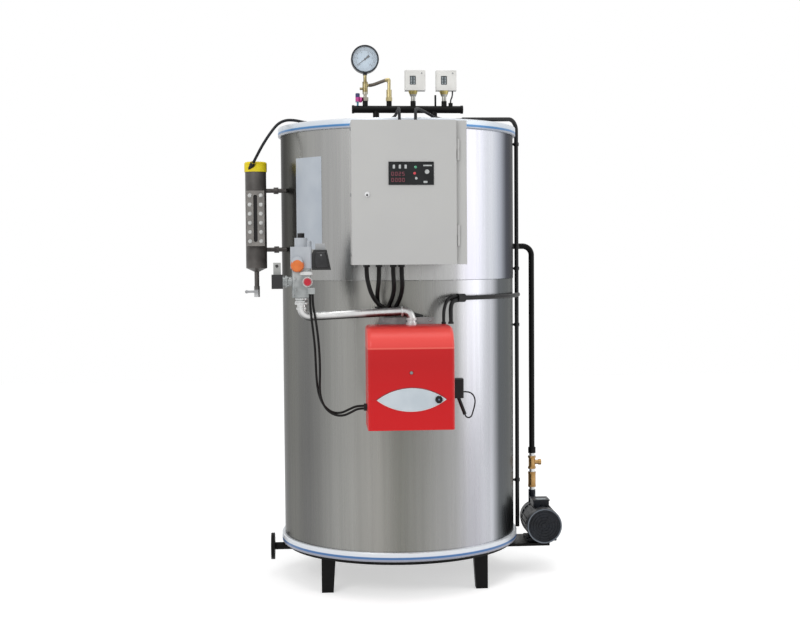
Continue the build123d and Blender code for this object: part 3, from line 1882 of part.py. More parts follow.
# Flanged steam outlet on the cover behind the header.
with BuildPart() as steam_outlet:
    upright(steam_radius, 0, steam_y, cover_top, cover_top + steam_height)
    with BuildSketch(Plane((0, steam_y, cover_top + steam_height - steam_flange_thickness))):
        Circle(steam_flange_radius)
        with PolarLocations(steam_pitch_radius, flange_bolt_count, start_angle=quarter_turn / 2):
            Circle(steam_bolt_radius, mode=Mode.SUBTRACT)
    extrude(amount=steam_flange_thickness)
    upright(steam_bore, 0, steam_y, cover_top, cover_top + steam_height, mode=Mode.SUBTRACT)
steam_outlet.part.label = "steam_outlet"
export_step(steam_outlet.part, "parts/steam_outlet.step")

# Low flue collar in the middle of the cover.
with BuildPart() as flue_collar:
    upright(flue_radius, 0, flue_y, cover_top, cover_top + flue_height)
    upright(flue_bore, 0, flue_y, cover_top, cover_top + flue_height, mode=Mode.SUBTRACT)
flue_collar.part.label = "flue_collar"
export_step(flue_collar.part, "parts/flue_collar.step")

# Bolted cleaning door low on the rear.
with BuildPart() as hand_hole:
    rod(
        hand_hole_radius,
        (0, jacket_radius + hand_hole_depth, hand_hole_level),
        (0, jacket_radius - hand_hole_depth, hand_hole_level),
    )
    clear_of_jacket(jacket_radius)
    with BuildSketch(Plane(origin=(0, jacket_radius + hand_hole_depth, hand_hole_level), z_dir=(0, 1, 0))):
        with PolarLocations(hand_hole_bolt_pitch, flange_bolt_count, start_angle=quarter_turn / 2):
            RegularPolygon(hand_hole_bolt_radius, hex_sides)
    extrude(amount=hand_hole_bolt_height)
hand_hole.part.label = "hand_hole"
export_step(hand_hole.part, "parts/hand_hole.step")
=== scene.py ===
import math

import bmesh
import bpy
from mathutils import Matrix, Vector


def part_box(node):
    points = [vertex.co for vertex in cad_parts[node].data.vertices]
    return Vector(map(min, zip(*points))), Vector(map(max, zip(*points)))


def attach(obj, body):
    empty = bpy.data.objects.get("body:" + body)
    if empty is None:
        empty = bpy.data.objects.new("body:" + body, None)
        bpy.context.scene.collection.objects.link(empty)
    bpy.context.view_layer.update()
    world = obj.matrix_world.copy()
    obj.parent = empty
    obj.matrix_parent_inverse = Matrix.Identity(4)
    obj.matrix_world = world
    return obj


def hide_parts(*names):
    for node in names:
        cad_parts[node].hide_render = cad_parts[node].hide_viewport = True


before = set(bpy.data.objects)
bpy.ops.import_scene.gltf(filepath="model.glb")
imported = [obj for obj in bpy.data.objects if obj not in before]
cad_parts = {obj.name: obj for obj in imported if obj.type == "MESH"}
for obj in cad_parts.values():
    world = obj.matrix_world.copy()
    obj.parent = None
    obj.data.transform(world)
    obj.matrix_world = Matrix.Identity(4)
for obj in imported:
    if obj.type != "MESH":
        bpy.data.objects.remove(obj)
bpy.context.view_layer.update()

scene = bpy.context.scene
scene.view_settings.view_transform = "Standard"

# Camera: an ordinary lens 5.7 m in front of the boiler and a little to its left, at chest height,
# looking slightly down, as the product was photographed.
camera_place = Vector((-0.3505, -5.7313, 1.387))
camera_right = Vector((0.99631473, -0.08552976, -0.00645118))
camera_up = Vector((0.01025638, 0.04412531, 0.99897335))
camera_back = Vector((-0.08515729, -0.99535803, 0.04483992))
lens_data = bpy.data.cameras.new("camera")
lens_data.lens = 59.15
lens_data.sensor_width = 36
lens_data.shift_x = -0.0375
camera = bpy.data.objects.new("camera", lens_data)
scene.collection.objects.link(camera)
camera_turn = Matrix((camera_right, camera_up, camera_back)).transposed().to_4x4()
camera.matrix_world = Matrix.Translation(camera_place) @ camera_turn
scene.camera = camera


# Cables: rubber and PVC sheathed leads between the cabinet, the boiler, the burner and the instruments.
# Each leaves a gland straight, sags under its own weight and goes into the next gland.
def seen(red, green, blue):
    """A colour as the eye reads it, 0 to 255, turned into the light values that a shader takes."""
    return (*[(part / 255) ** 2.2 for part in (red, green, blue)], 1)


def feed(tree, step, feeds):
    """Feeds a shader step's sockets with numbers, colours or other steps' outputs."""
    for socket, value in feeds.items():
        if isinstance(value, bpy.types.NodeSocket):
            tree.links.new(value, step.inputs[socket])
        else:
            step.inputs[socket].default_value = value


def add_step(tree, kind, feeds, operation=None):
    """Adds a shader step and feeds its sockets."""
    step = tree.nodes.new(kind)
    if operation:
        step.operation = operation
    feed(tree, step, feeds)
    return step


def start_finish(name):
    """Starts a finish with one surface shader."""
    finish = bpy.data.materials.new(name)
    finish.use_nodes = True
    tree = finish.node_tree
    tree.nodes.clear()
    surface = tree.nodes.new("ShaderNodeBsdfPrincipled")
    add_step(tree, "ShaderNodeOutputMaterial", {"Surface": surface.outputs["BSDF"]})
    return finish, tree, surface


def cloud(tree, patch, stretch=(1, 1, 1), detail=3):
    """Soft patches over the surface, about one size in metres."""
    place = tree.nodes.new("ShaderNodeTexCoord").outputs["Object"]
    spread = add_step(tree, "ShaderNodeMapping", {"Vector": place, "Scale": stretch}).outputs["Vector"]
    noise = add_step(tree, "ShaderNodeTexNoise", {"Vector": spread, "Scale": 1 / patch, "Detail": detail})
    return noise.outputs["Fac"]


def shades(tree, value, stops):
    """Colours along a value, from stops of (value, colour as the eye reads it)."""
    ramp = add_step(tree, "ShaderNodeValToRGB", {"Fac": value})
    held = ramp.color_ramp.elements
    for count, (at, colour) in enumerate(stops):
        stop = held[count] if count < len(held) else held.new(at)
        stop.position = at
        stop.color = seen(*colour)
    return ramp.outputs["Color"]


def between(tree, value, low, high, start=0.3, end=0.7):
    """Spreads a value over a range of numbers. The value's own range is the middle of a cloud's at first."""
    return add_step(tree, "ShaderNodeMapRange", {
        "Value": value, "From Min": start, "From Max": end, "To Min": low, "To Max": high
    }).outputs["Result"]


def raise_grain(tree, surface, value, depth, edge=0.0):
    """Raises a value as grain of that depth, and softens the edges by a small radius."""
    bump = add_step(tree, "ShaderNodeBump", {"Distance": depth, "Height": value})
    if edge > 0:
        softened = add_step(tree, "ShaderNodeBevel", {"Radius": edge})
        softened.samples = 4
        feed(tree, bump, {"Normal": softened.outputs["Normal"]})
    feed(tree, surface, {"Normal": bump.outputs["Normal"]})


def coating(name, dark, light, patch, gloss, grain, depth, metallic=0.0, coat=0.0, edge=0.0, shine=0.5):
    """A finish that drifts between two shades over patches, with a range of roughness and a fine grain."""
    finish, tree, surface = start_finish(name)
    feed(tree, surface, {
        "Metallic": metallic, "Specular IOR Level": shine, "Coat Weight": coat, "Coat Roughness": 0.12,
        "Base Color": shades(tree, cloud(tree, patch), ((0.35, dark), (0.65, light))),
        "Roughness": between(tree, cloud(tree, patch / 3), *gloss),
    })
    raise_grain(tree, surface, cloud(tree, grain, detail=2), depth, edge)
    return finish


def route_line(name, points, resolution):
    """A smooth line through a route."""
    line = bpy.data.curves.new(name, "CURVE")
    line.dimensions = "3D"
    route = line.splines.new("NURBS")
    route.points.add(len(points) - 1)
    for held, point in zip(route.points, points):
        held.co = (*point, 1)
    route.order_u = 3
    route.use_endpoint_u = True
    route.resolution_u = resolution
    return line


def lay_cable(node, radius, sheath, points):
    """One cable on a smooth line through its route, from gland to gland."""
    line = route_line(node + "_sheath", points, 8)
    line.bevel_depth = radius
    line.bevel_resolution = 5
    line.use_fill_caps = True
    line.materials.append(sheath)
    cable = bpy.data.objects.new(node + "_sheath", line)
    scene.collection.objects.link(cable)
    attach(cable, "boiler")
    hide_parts(node)


black_sheath = coating(
    "black_sheath", (10, 9, 9), (22, 20, 20), 0.02, (0.42, 0.54), 0.0012, 0.0001, shine=0.2
)
blue_black_sheath = coating(
    "blue_black_sheath", (6, 9, 14), (16, 20, 28), 0.02, (0.36, 0.5), 0.0012, 0.0001, shine=0.3
)
cabinet_cable_radius = 0.0085
top_cable_radius = 0.006
valve_cable_radius = 0.0045
plug_wire_radius = 0.0028
switch_lead_radius = 0.003
lay_cable("cabinet_cable_1", cabinet_cable_radius, black_sheath, [
    (-0.16, -0.64, 1.343), (-0.16, -0.64, 1.311), (-0.153, -0.633, 1.276), (-0.142, -0.62, 1.24),
    (-0.124, -0.604, 1.209), (-0.098, -0.592, 1.186), (-0.065, -0.588, 1.17), (-0.0326, -0.5837, 1.1652),
    (-0.006, -0.56, 1.16),
])
lay_cable("cabinet_cable_2", cabinet_cable_radius, black_sheath, [
    (-0.112, -0.64, 1.343), (-0.112, -0.64, 1.311), (-0.114, -0.63, 1.276), (-0.118, -0.61, 1.244),
    (-0.117, -0.585, 1.215), (-0.109, -0.56, 1.189), (-0.102, -0.534, 1.169), (-0.102, -0.503, 1.169),
])
lay_cable("cabinet_cable_3", cabinet_cable_radius, black_sheath, [
    (-0.057, -0.64, 1.343), (-0.057, -0.64, 1.311), (-0.053, -0.628, 1.276), (-0.054, -0.608, 1.244),
    (-0.061, -0.585, 1.214), (-0.072, -0.56, 1.187), (-0.076, -0.533, 1.169), (-0.076, -0.503, 1.169),
])
lay_cable("cabinet_cable_4", cabinet_cable_radius, black_sheath, [
    (-0.024, -0.64, 1.343), (-0.024, -0.64, 1.311), (-0.02, -0.628, 1.276), (-0.022, -0.608, 1.244),
    (-0.03, -0.585, 1.214), (-0.042, -0.56, 1.187), (-0.05, -0.533, 1.169), (-0.05, -0.503, 1.169),
])
lay_cable("valve_cable_1", valve_cable_radius, black_sheath, [
    (-0.379, -0.664, 1.242), (-0.379, -0.664, 1.202), (-0.375, -0.666, 1.152), (-0.368, -0.669, 1.095),
    (-0.362, -0.671, 1.035), (-0.36, -0.673, 0.976), (-0.358, -0.676, 0.925), (-0.354, -0.679, 0.88),
    (-0.345, -0.682, 0.841), (-0.327, -0.685, 0.808), (-0.298, -0.688, 0.786), (-0.264, -0.69, 0.784),
    (-0.234, -0.69, 0.798), (-0.205, -0.69, 0.811), (-0.177, -0.69, 0.811),
])
lay_cable("valve_cable_2", valve_cable_radius, black_sheath, [
    (-0.369, -0.664, 1.242), (-0.369, -0.664, 1.204), (-0.361, -0.668, 1.16), (-0.353, -0.673, 1.105),
    (-0.347, -0.678, 1.045), (-0.344, -0.683, 0.985), (-0.344, -0.687, 0.93), (-0.346, -0.69, 0.88),
    (-0.341, -0.694, 0.839), (-0.324, -0.698, 0.803), (-0.294, -0.701, 0.779), (-0.258, -0.702, 0.774),
    (-0.226, -0.702, 0.788), (-0.201, -0.702, 0.802), (-0.177, -0.702, 0.802),
])
lay_cable("column_cable", top_cable_radius, blue_black_sheath, [
    (-0.61, -0.204, 1.778), (-0.5951, -0.2255, 1.8028), (-0.577, -0.234, 1.836), (-0.556, -0.222, 1.872),
    (-0.533, -0.2, 1.908), (-0.508, -0.178, 1.941), (-0.475, -0.164, 1.958), (-0.434, -0.16, 1.957),
    (-0.392, -0.168, 1.946), (-0.345, -0.183, 1.941), (-0.285, -0.198, 1.94), (-0.215, -0.215, 1.94),
    (-0.14, -0.24, 1.94), (-0.08, -0.285, 1.941), (-0.048, -0.345, 1.942), (-0.034, -0.41, 1.946),
    (-0.028, -0.465, 1.956), (-0.026, -0.505, 1.963), (-0.026, -0.538, 1.964), (-0.026, -0.566, 1.964),
    (-0.026, -0.5875, 1.9515), (-0.026, -0.6, 1.93), (-0.026, -0.6, 1.905),
])
lay_cable("header_cable", top_cable_radius, blue_black_sheath, [
    (0.262, -0.236, 1.954), (0.2361, -0.2594, 1.9514), (0.209, -0.29, 1.947), (0.181, -0.328, 1.943),
    (0.151, -0.372, 1.943), (0.121, -0.415, 1.948), (0.094, -0.456, 1.957), (0.07, -0.494, 1.964),
    (0.053, -0.53, 1.966), (0.043, -0.564, 1.964), (0.038, -0.587, 1.9515), (0.037, -0.6, 1.93),
    (0.037, -0.6, 1.905),
])
lay_cable("plug_wire", plug_wire_radius, black_sheath, [
    (0.215, -0.62, 0.852), (0.229, -0.62, 0.852), (0.243, -0.621, 0.849), (0.254, -0.623, 0.841),
    (0.261, -0.624, 0.827), (0.262, -0.624, 0.808), (0.258, -0.624, 0.789), (0.253, -0.623, 0.772),
    (0.2493, -0.621, 0.7585), (0.2443, -0.62, 0.7522), (0.2374, -0.62, 0.7496), (0.2303, -0.62, 0.7509),
    (0.2248, -0.62, 0.7555), (0.222, -0.62, 0.763),
])
lay_cable("switch_lead", switch_lead_radius, blue_black_sheath, [
    (0.213, -0.3, 2.064), (0.213, -0.3, 2.049), (0.21, -0.3, 2.036), (0.205, -0.3, 2.027),
    (0.205, -0.3, 2.015),
])

# Studio: a pale seamless floor, an even white surround and three soft lamps.
# The lamp at the right is a tall one, which draws a bright band down the polished jacket, over the bright
# band painted into the jacket's colour as a painted reflection.
def background_rays(tree):
    """One where the eye, a mirror or a glass looks at the background, and nothing where light falls."""
    path = tree.nodes.new("ShaderNodeLightPath")
    looking = path.outputs["Is Camera Ray"]
    for ray in ("Is Transmission Ray", "Is Glossy Ray"):
        either = add_step(tree, "ShaderNodeMath", {0: looking, 1: path.outputs[ray]}, "MAXIMUM")
        looking = either.outputs["Value"]
    return looking


floor_reach = 9
floor_mesh = bpy.data.meshes.new("floor")
floor_corners = [(x, y, 0) for x, y in ((-1, -1), (1, -1), (1, 1), (-1, 1))]
floor_mesh.from_pydata([Vector(corner) * floor_reach for corner in floor_corners], [], [(0, 1, 2, 3)])
floor = bpy.data.objects.new("floor", floor_mesh)
scene.collection.objects.link(floor)
floor_finish, floor_tree, floor_surface = start_finish("floor_finish")
white = (1, 1, 1, 1)
floor_glow = 0.5
floor_rays = background_rays(floor_tree)
feed(floor_tree, floor_surface, {
    "Base Color": (0.8, 0.8, 0.8, 1), "Roughness": 0.9, "Emission Color": white,
    "Emission Strength": between(floor_tree, floor_rays, 0, floor_glow, 0, 1),
})
floor_mesh.materials.append(floor_finish)

surround = bpy.data.worlds.new("surround")
surround.use_nodes = True
scene.world = surround
sky = surround.node_tree
sky.nodes.clear()
sky_light = add_step(sky, "ShaderNodeBackground", {"Color": white, "Strength": 0.62})
sky_white = add_step(sky, "ShaderNodeBackground", {"Color": white, "Strength": 1})
sky_blend = add_step(sky, "ShaderNodeMixShader", {
    "Fac": background_rays(sky), 1: sky_light.outputs["Background"], 2: sky_white.outputs["Background"]
})
add_step(sky, "ShaderNodeOutputWorld", {"Surface": sky_blend.outputs["Shader"]})


def hang_lamp(name, place, aim, width, height, power):
    """A soft lamp of that size, turned towards a point on the boiler."""
    data = bpy.data.lights.new(name, "AREA")
    data.shape = "RECTANGLE"
    data.size = width
    data.size_y = height
    data.energy = power
    lamp = bpy.data.objects.new(name, data)
    scene.collection.objects.link(lamp)
    lamp.location = place
    lamp.rotation_euler = (Vector(aim) - Vector(place)).to_track_quat("-Z", "Y").to_euler()


hang_lamp("lamp_front", place=(-2.6, -4.6, 3.6), aim=(0, -0.5, 1.1), width=2.4, height=1.8, power=80)
hang_lamp("lamp_right", place=(4.2, -1.6, 1.7), aim=(0, -0.3, 1.1), width=2.0, height=3.0, power=29)
hang_lamp("lamp_top", place=(0.3, -0.8, 5.2), aim=(0, 0, 1.0), width=3.0, height=3.0, power=60)


# Base: a plate ring on four folded channel feet, welded up and brushed with black enamel.
# The enamel is slightly uneven, and softens the edges of the plate.
def dress(finish, *nodes):
    """Gives solids of the frame their finish."""
    for node in nodes:
        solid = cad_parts[node]
        if not solid.material_slots:
            solid.data.materials.append(finish)
        for holder in solid.material_slots:
            holder.material = finish


black_enamel = coating(
    "black_enamel", (4, 4, 5), (14, 13, 13), 0.05, (0.4, 0.54), 0.002, 0.00012,
    edge=0.0015, shine=0.15
)
dress(black_enamel, "base_ring", "legs", "pump_bracket")


# Jacket: two polished stainless sheets rolled round the lagging, the upper lapped over the lower.
# The sheet keeps the fine upright grain of its polishing, and its colour carries painted reflections of the
# hall in upright bands, darker towards the bottom.
# At the rear a riveted strip closes each sheet.
def skin(work, rings, closed=True):
    """Covers a row of rings with faces, and closes both ends unless told otherwise."""
    for lower, upper in zip(rings, rings[1:]):
        for count in range(len(lower)):
            after = (count + 1) % len(lower)
            work.faces.new((lower[count], lower[after], upper[after], upper[count]))
    if closed:
        work.faces.new(rings[0])
        work.faces.new(rings[-1])


def circle_angles(count, offset=0.5):
    """Angles evenly spaced round a circle."""
    return [math.tau * (step + offset) / count for step in range(count)]


def spokes(along, count, offset=0.5):
    """Unit vectors out from an axis, evenly spaced round it."""
    axis = Vector(along).normalized()
    across = axis.orthogonal().normalized()
    over = axis.cross(across)
    return [across * math.cos(angle) + over * math.sin(angle) for angle in circle_angles(count, offset)]


def turn(work, profile, centre, along=(0, 0, 1), sides=48, closed=True):
    """Adds a turned form. The profile lists (radius, distance along the axis) from one end to the other."""
    axis = Vector(along).normalized()
    reaches = spokes(along, sides)
    skin(work, [
        [work.verts.new(Vector(centre) + axis * distance + reach * radius) for reach in reaches]
        for radius, distance in profile
    ], closed)


def wrap(work, radius, thickness, start, end, low, high):
    """Adds a strip of sheet round the boiler, between two angles in degrees from the front to the right."""
    steps = max(2, round(abs(end - start) / 2))
    corners = ((radius, low), (radius + thickness, low), (radius + thickness, high), (radius, high))
    sections = []
    for step in range(steps + 1):
        angle = math.radians(start + (end - start) * step / steps)
        sections.append([
            work.verts.new((reach * math.sin(angle), -reach * math.cos(angle), height))
            for reach, height in corners
        ])
    skin(work, sections)


def make_piece(name, work, finish, body="boiler", crease=32):
    """Turns the mesh in hand into a piece that rides on a body."""
    bmesh.ops.recalc_face_normals(work, faces=work.faces)
    mesh = bpy.data.meshes.new(name)
    work.to_mesh(mesh)
    work.free()
    mesh.shade_smooth()
    mesh.set_sharp_from_angle(angle=math.radians(crease))
    mesh.materials.append(finish)
    piece = bpy.data.objects.new(name, mesh)
    scene.collection.objects.link(piece)
    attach(piece, body)
    return piece


def turned_piece(name, finish, slot, *forms, body="boiler"):
    """Makes a piece of turned forms, each a profile, a centre and, where it needs them, an axis and sides."""
    work = bmesh.new()
    for form in forms:
        turn(work, *form)
    return make_piece(name, work, finish, body)


def along_axis(tree, axis):
    """The place on the surface along one axis, in metres."""
    place = tree.nodes.new("ShaderNodeTexCoord").outputs["Object"]
    return add_step(tree, "ShaderNodeSeparateXYZ", {"Vector": place}).outputs[axis]


def scaled(tree, colour, factor):
    """A colour made lighter or darker by a factor."""
    return add_step(tree, "ShaderNodeVectorMath", {0: colour, "Scale": factor}, "SCALE").outputs["Vector"]


def polished_sheet(name, rim_tone, fading, bands):
    """Polished steel whose colour carries painted reflections: bands as (angle from the front towards the
    right, colour), fading by height.
    """
    finish, tree, surface = start_finish(name)
    low, high, low_tone, high_tone = fading
    upright = (1, 1, 0.02)
    front = add_step(tree, "ShaderNodeMath", {0: along_axis(tree, "Y"), 1: -1}, "MULTIPLY")
    angle = add_step(tree, "ShaderNodeMath", {0: along_axis(tree, "X"), 1: front.outputs["Value"]}, "ARCTAN2")
    share = between(tree, angle.outputs["Value"], 0, 1, -math.pi, math.pi)
    fade = between(tree, along_axis(tree, "Z"), low_tone, high_tone, low, high)
    streaks = between(tree, cloud(tree, 0.03, upright), 0.94, 1.06)
    tone = add_step(tree, "ShaderNodeMath", {0: fade, 1: streaks}, "MULTIPLY").outputs["Value"]
    stops = [(0.5 + turned / 360, colour) for turned, colour in bands]
    feed(tree, surface, {
        "Metallic": 1, "Specular Tint": (rim_tone, rim_tone, rim_tone, 1),
        "Base Color": scaled(tree, shades(tree, share, stops), tone),
        "Roughness": between(tree, cloud(tree, 0.02, upright), 0.24, 0.31),
    })
    raise_grain(tree, surface, cloud(tree, 0.006, upright, 2), 0.00002)
    return finish


jacket_sides = 256
jacket_radius = 0.5
jacket_bottom = 0.17
jacket_seam = 1.288
jacket_top = 1.925
lap = 0.002
# The bands below are painted reflections of the hall, set into each sheet's colour, darker towards the
# bottom.
lower_sheet_painted_reflections = polished_sheet("lower_sheet_painted_reflections", 0.6, (0.6, jacket_seam, 0.95, 1.16), (
    (-170, (132, 132, 132)), (-100, (92, 92, 92)), (-79, (90, 90, 88)), (-66, (118, 118, 114)),
    (-54, (104, 104, 103)), (-43, (118, 118, 116)), (-32, (138, 138, 135)), (-14, (138, 137, 133)),
    (-3, (114, 114, 109)), (9, (131, 131, 128)), (24, (150, 150, 150)), (33, (166, 166, 172)),
    (47, (182, 184, 190)), (53, (96, 99, 102)), (68, (88, 91, 90)), (80, (68, 70, 70)),
    (110, (128, 128, 129)), (170, (132, 132, 132)),
))
upper_sheet_painted_reflections = polished_sheet("upper_sheet_painted_reflections", 0.4, (jacket_bottom, jacket_top, 0.92, 1.12), (
    (-170, (138, 138, 138)), (-100, (84, 84, 83)), (-79, (62, 61, 59)), (-66, (102, 102, 99)),
    (-56, (144, 144, 141)), (-36, (152, 152, 151)), (0, (158, 158, 156)), (22, (172, 172, 172)),
    (31, (170, 169, 177)), (37, (168, 168, 177)), (47, (208, 211, 218)), (54, (180, 184, 194)),
    (62, (98, 100, 107)), (72, (74, 74, 79)), (82, (76, 76, 80)), (110, (134, 134, 136)),
    (170, (138, 138, 138)),
))
sheet_parts = (
    ("lower_jacket", lower_sheet_painted_reflections, jacket_radius, jacket_bottom, jacket_seam),
    ("upper_jacket", upper_sheet_painted_reflections, jacket_radius + lap, jacket_seam, jacket_top),
)
for node, finish, radius, low, high in sheet_parts:
    edge = lap / 2
    profile = ((radius - edge, low), (radius, low + edge), (radius, high - edge), (radius - edge, high))
    sheet_form = (profile, (0, 0, 0), (0, 0, 1), jacket_sides)
    sheet_piece = turned_piece(node + "_sheet", finish, "polished_jacket", sheet_form)
    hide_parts(node)

rivet_steel = coating(
    "rivet_steel", (142, 143, 144), (152, 153, 154), 0.4, (0.26, 0.3), 0.003, 0.00001, metallic=1.0
)
strip_angle = 150
strip_half = 2
strip_thickness = 0.0008
strip_margin = 0.03
rivet_radius = 0.004
rivet_height = 0.0018
rivets_a_sheet = 9
work = bmesh.new()
for node, finish, radius, low, high in sheet_parts:
    strip_low = low + strip_margin
    strip_high = high - strip_margin
    strip_ends = (strip_angle - strip_half, strip_angle + strip_half)
    wrap(work, radius, strip_thickness, *strip_ends, strip_low, strip_high)
    for row in range(rivets_a_sheet):
        height = strip_low + (strip_high - strip_low) * (row + 0.5) / rivets_a_sheet
        for side in (-1, 1):
            angle = math.radians(strip_angle + side * strip_half / 2)
            outward = Vector((math.sin(angle), -math.cos(angle), 0))
            place = outward * (radius + strip_thickness / 2) + Vector((0, 0, height))
            dome = (
                (rivet_radius, 0), (rivet_radius * 0.85, rivet_height / 2), (rivet_radius / 3, rivet_height)
            )
            turn(work, dome, place, outward, 16)
make_piece("closing_strips", work, rivet_steel)

# Side plate: a thin pale plastic sheet glued to the upper jacket beside the cabinet.
# Its face has faded a little unevenly.
plate_face = coating("plate_face", (174, 182, 192), (186, 193, 201), 0.12, (0.34, 0.46), 0.0015, 0.00003)
side_plate_thickness = 0.0006
side_plate_left = -59.6
side_plate_right = -41
side_plate_low = 1.415
side_plate_high = 1.79
work = bmesh.new()
wrap(
    work, jacket_radius + lap, side_plate_thickness, side_plate_left, side_plate_right,
    side_plate_low, side_plate_high
)
make_piece("side_plate", work, plate_face)


# Trims: rolled bands of bright sheet at the jacket's foot and head.
# Each band's colour has a blue stripe round its lower part; on the foot band the pale part above it is a
# painted highlight, and the grey lip under it painted shade.
def banded(name, bands, gloss, metallic, axis="Z", grain=0.00003, shine=0.5):
    """A finish whose colour goes along an axis, given as (place in metres, colour)."""
    finish, tree, surface = start_finish(name)
    first, last = bands[0][0], bands[-1][0]
    share = between(tree, along_axis(tree, axis), 0, 1, first, last)
    stops = [((place - first) / (last - first), colour) for place, colour in bands]
    feed(tree, surface, {
        "Metallic": metallic, "Specular IOR Level": shine, "Base Color": shades(tree, share, stops),
        "Roughness": between(tree, cloud(tree, 0.03), *gloss),
    })
    raise_grain(tree, surface, cloud(tree, 0.002, (1, 1, 0.2), 2), grain)
    return finish


# The foot band's pale upper part is a painted highlight, and its grey lower lip painted shade.
foot_trim_with_painted_light = banded("foot_trim_with_painted_light", (
    (0.156, (150, 152, 158)), (0.1655, (150, 155, 175)), (0.167, (70, 110, 165)), (0.1745, (80, 120, 170)),
    (0.176, (216, 221, 228)), (0.194, (224, 228, 233)),
), (0.3, 0.42), 0.35)
head_trim_finish = banded("head_trim_finish", (
    (1.897, (168, 172, 180)), (1.9045, (160, 168, 182)), (1.906, (66, 118, 172)), (1.913, (84, 136, 188)),
    (1.915, (204, 215, 226)), (1.935, (222, 226, 231)),
), (0.3, 0.42), 0.35)
dress(foot_trim_with_painted_light, "bottom_trim")
dress(head_trim_finish, "top_trim")


# Cover: a flat disc of plain sheet inside the head trim, with the steam outlet and flue collar on it.
# It is mill finished, marked by handling, and held by a ring of screws.
def screw(work, place, along, radius, height):
    """Adds a screw with a rounded pan head."""
    profile = ((radius, 0), (radius, height / 2), (radius * 0.8, height * 0.85), (radius * 0.35, height))
    turn(work, profile, place, along, 18)


def fasten(name, finish, head, places, along, width, height):
    """Makes a piece of like screws or bolts, one at each place."""
    work = bmesh.new()
    for place in places:
        head(work, place, along, width, height)
    make_piece(name, work, finish)


mill_sheet = coating(
    "mill_sheet", (156, 158, 162), (170, 172, 176), 0.07, (0.5, 0.58), 0.003, 0.00004, metallic=0.8
)
dress(mill_sheet, "top_cover", "flue_collar")
machined_steel = coating(
    "machined_steel", (128, 129, 131), (164, 165, 167), 0.03, (0.28, 0.42), 0.001, 0.00005,
    metallic=0.9
)
dress(machined_steel, "steam_outlet", "hand_hole", "drain_lever")
cover_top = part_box("top_cover")[1][2]
cover_screw_circle = 0.448
cover_screw_count = 12
cover_screw_radius = 0.006
cover_screw_height = 0.003
fasten("cover_screws", rivet_steel, screw, [
    (cover_screw_circle * math.sin(angle), -cover_screw_circle * math.cos(angle), cover_top)
    for angle in circle_angles(cover_screw_count)
], (0, 0, 1), cover_screw_radius, cover_screw_height)

# Instrument header, blowdown and feed pipes: steel pipe with threaded sockets, black enamelled.
# The enamel is the same as the base's, brushed on after fitting.
dress(black_enamel, "instrument_header", "blowdown_pipe", "feed_pipe")


# Gauge cock, siphon and bellows fittings: turned brass, gone dull, on pale plated nipples.
# The siphon's slanting tube is bare copper, browned by heat.
def mesh_of(line):
    """The mesh of a line or a figure, which is used up."""
    holder = bpy.data.objects.new(line.name, line)
    shape = bpy.data.meshes.new_from_object(holder)
    bpy.data.objects.remove(holder)
    bpy.data.curves.remove(line)
    return shape


def smooth_route(points):
    """The places along a smooth line through a route."""
    shape = mesh_of(route_line("route", points, 10))
    places = [vertex.co.copy() for vertex in shape.vertices]
    bpy.data.meshes.remove(shape)
    return places


def sweep_tube(work, places, radii, sides=24):
    """Adds a tube along a line of places, with a radius at each."""
    rings = []
    across = (places[1] - places[0]).orthogonal().normalized()
    for count, (place, radius) in enumerate(zip(places, radii)):
        before = places[max(count - 1, 0)]
        behind = places[min(count + 1, len(places) - 1)]
        along = (behind - before).normalized()
        across = (across - along * across.dot(along)).normalized()
        over = along.cross(across)
        rings.append([
            work.verts.new(place + (across * math.cos(angle) + over * math.sin(angle)) * radius)
            for angle in circle_angles(sides, 0)
        ])
    skin(work, rings)


cock_finish = banded("cock_finish", (
    (2.02, (140, 137, 127)), (2.056, (160, 156, 143)), (2.06, (122, 111, 80)), (2.085, (154, 143, 107)),
    (2.1, (116, 105, 74)), (2.13, (156, 146, 112)),
), (0.26, 0.42), 1.0)
dress(cock_finish, "gauge_cock")
siphon_finish = banded("siphon_finish", (
    (-0.133, (92, 86, 80)), (-0.068, (108, 102, 94)), (-0.062, (168, 154, 112)), (-0.036, (184, 172, 132)),
), (0.26, 0.42), 1.0, axis="X")
dress(siphon_finish, "siphon")
siphon_tube_radius = 0.0068
work = bmesh.new()
siphon_route = smooth_route((
    (-0.131, -0.3, 2.086), (-0.119, -0.3, 2.086), (-0.085, -0.3, 2.099), (-0.055, -0.3, 2.1105),
    (-0.048, -0.3, 2.1095), (-0.049, -0.3, 2.095), (-0.049, -0.3, 2.067),
))
sweep_tube(work, siphon_route, [siphon_tube_radius] * len(siphon_route))
make_piece("siphon_tube", work, siphon_finish)
fitting_finish = banded("fitting_finish", (
    (2.02, (132, 132, 128)), (2.048, (166, 166, 160)), (2.05, (158, 143, 92)), (2.066, (176, 162, 104)),
), (0.26, 0.4), 1.0)
dress(fitting_finish, "switch_fittings")

# Bleed valve: a small turned valve with coloured plastic grips at the header's left end.
# The grips are a dark blue cap over a magenta body with a ribbed side grip, and a teal foot.
def knob(name, finish, place, along, radius, length, ribs=0):
    """A moulded knob or cap with an eased front edge, and ribs round it if asked."""
    work = bmesh.new()
    ease = min(radius, length) / 6
    turn(work, ((radius, 0), (radius, length - ease), (radius - ease, length)), place, along, 40)
    rib = radius / 12
    for reach in spokes(along, ribs, 0):
        turn(work, ((rib, 0), (rib, length - 2 * ease)), Vector(place) + reach * radius, along, 8)
    return make_piece(name, work, finish)


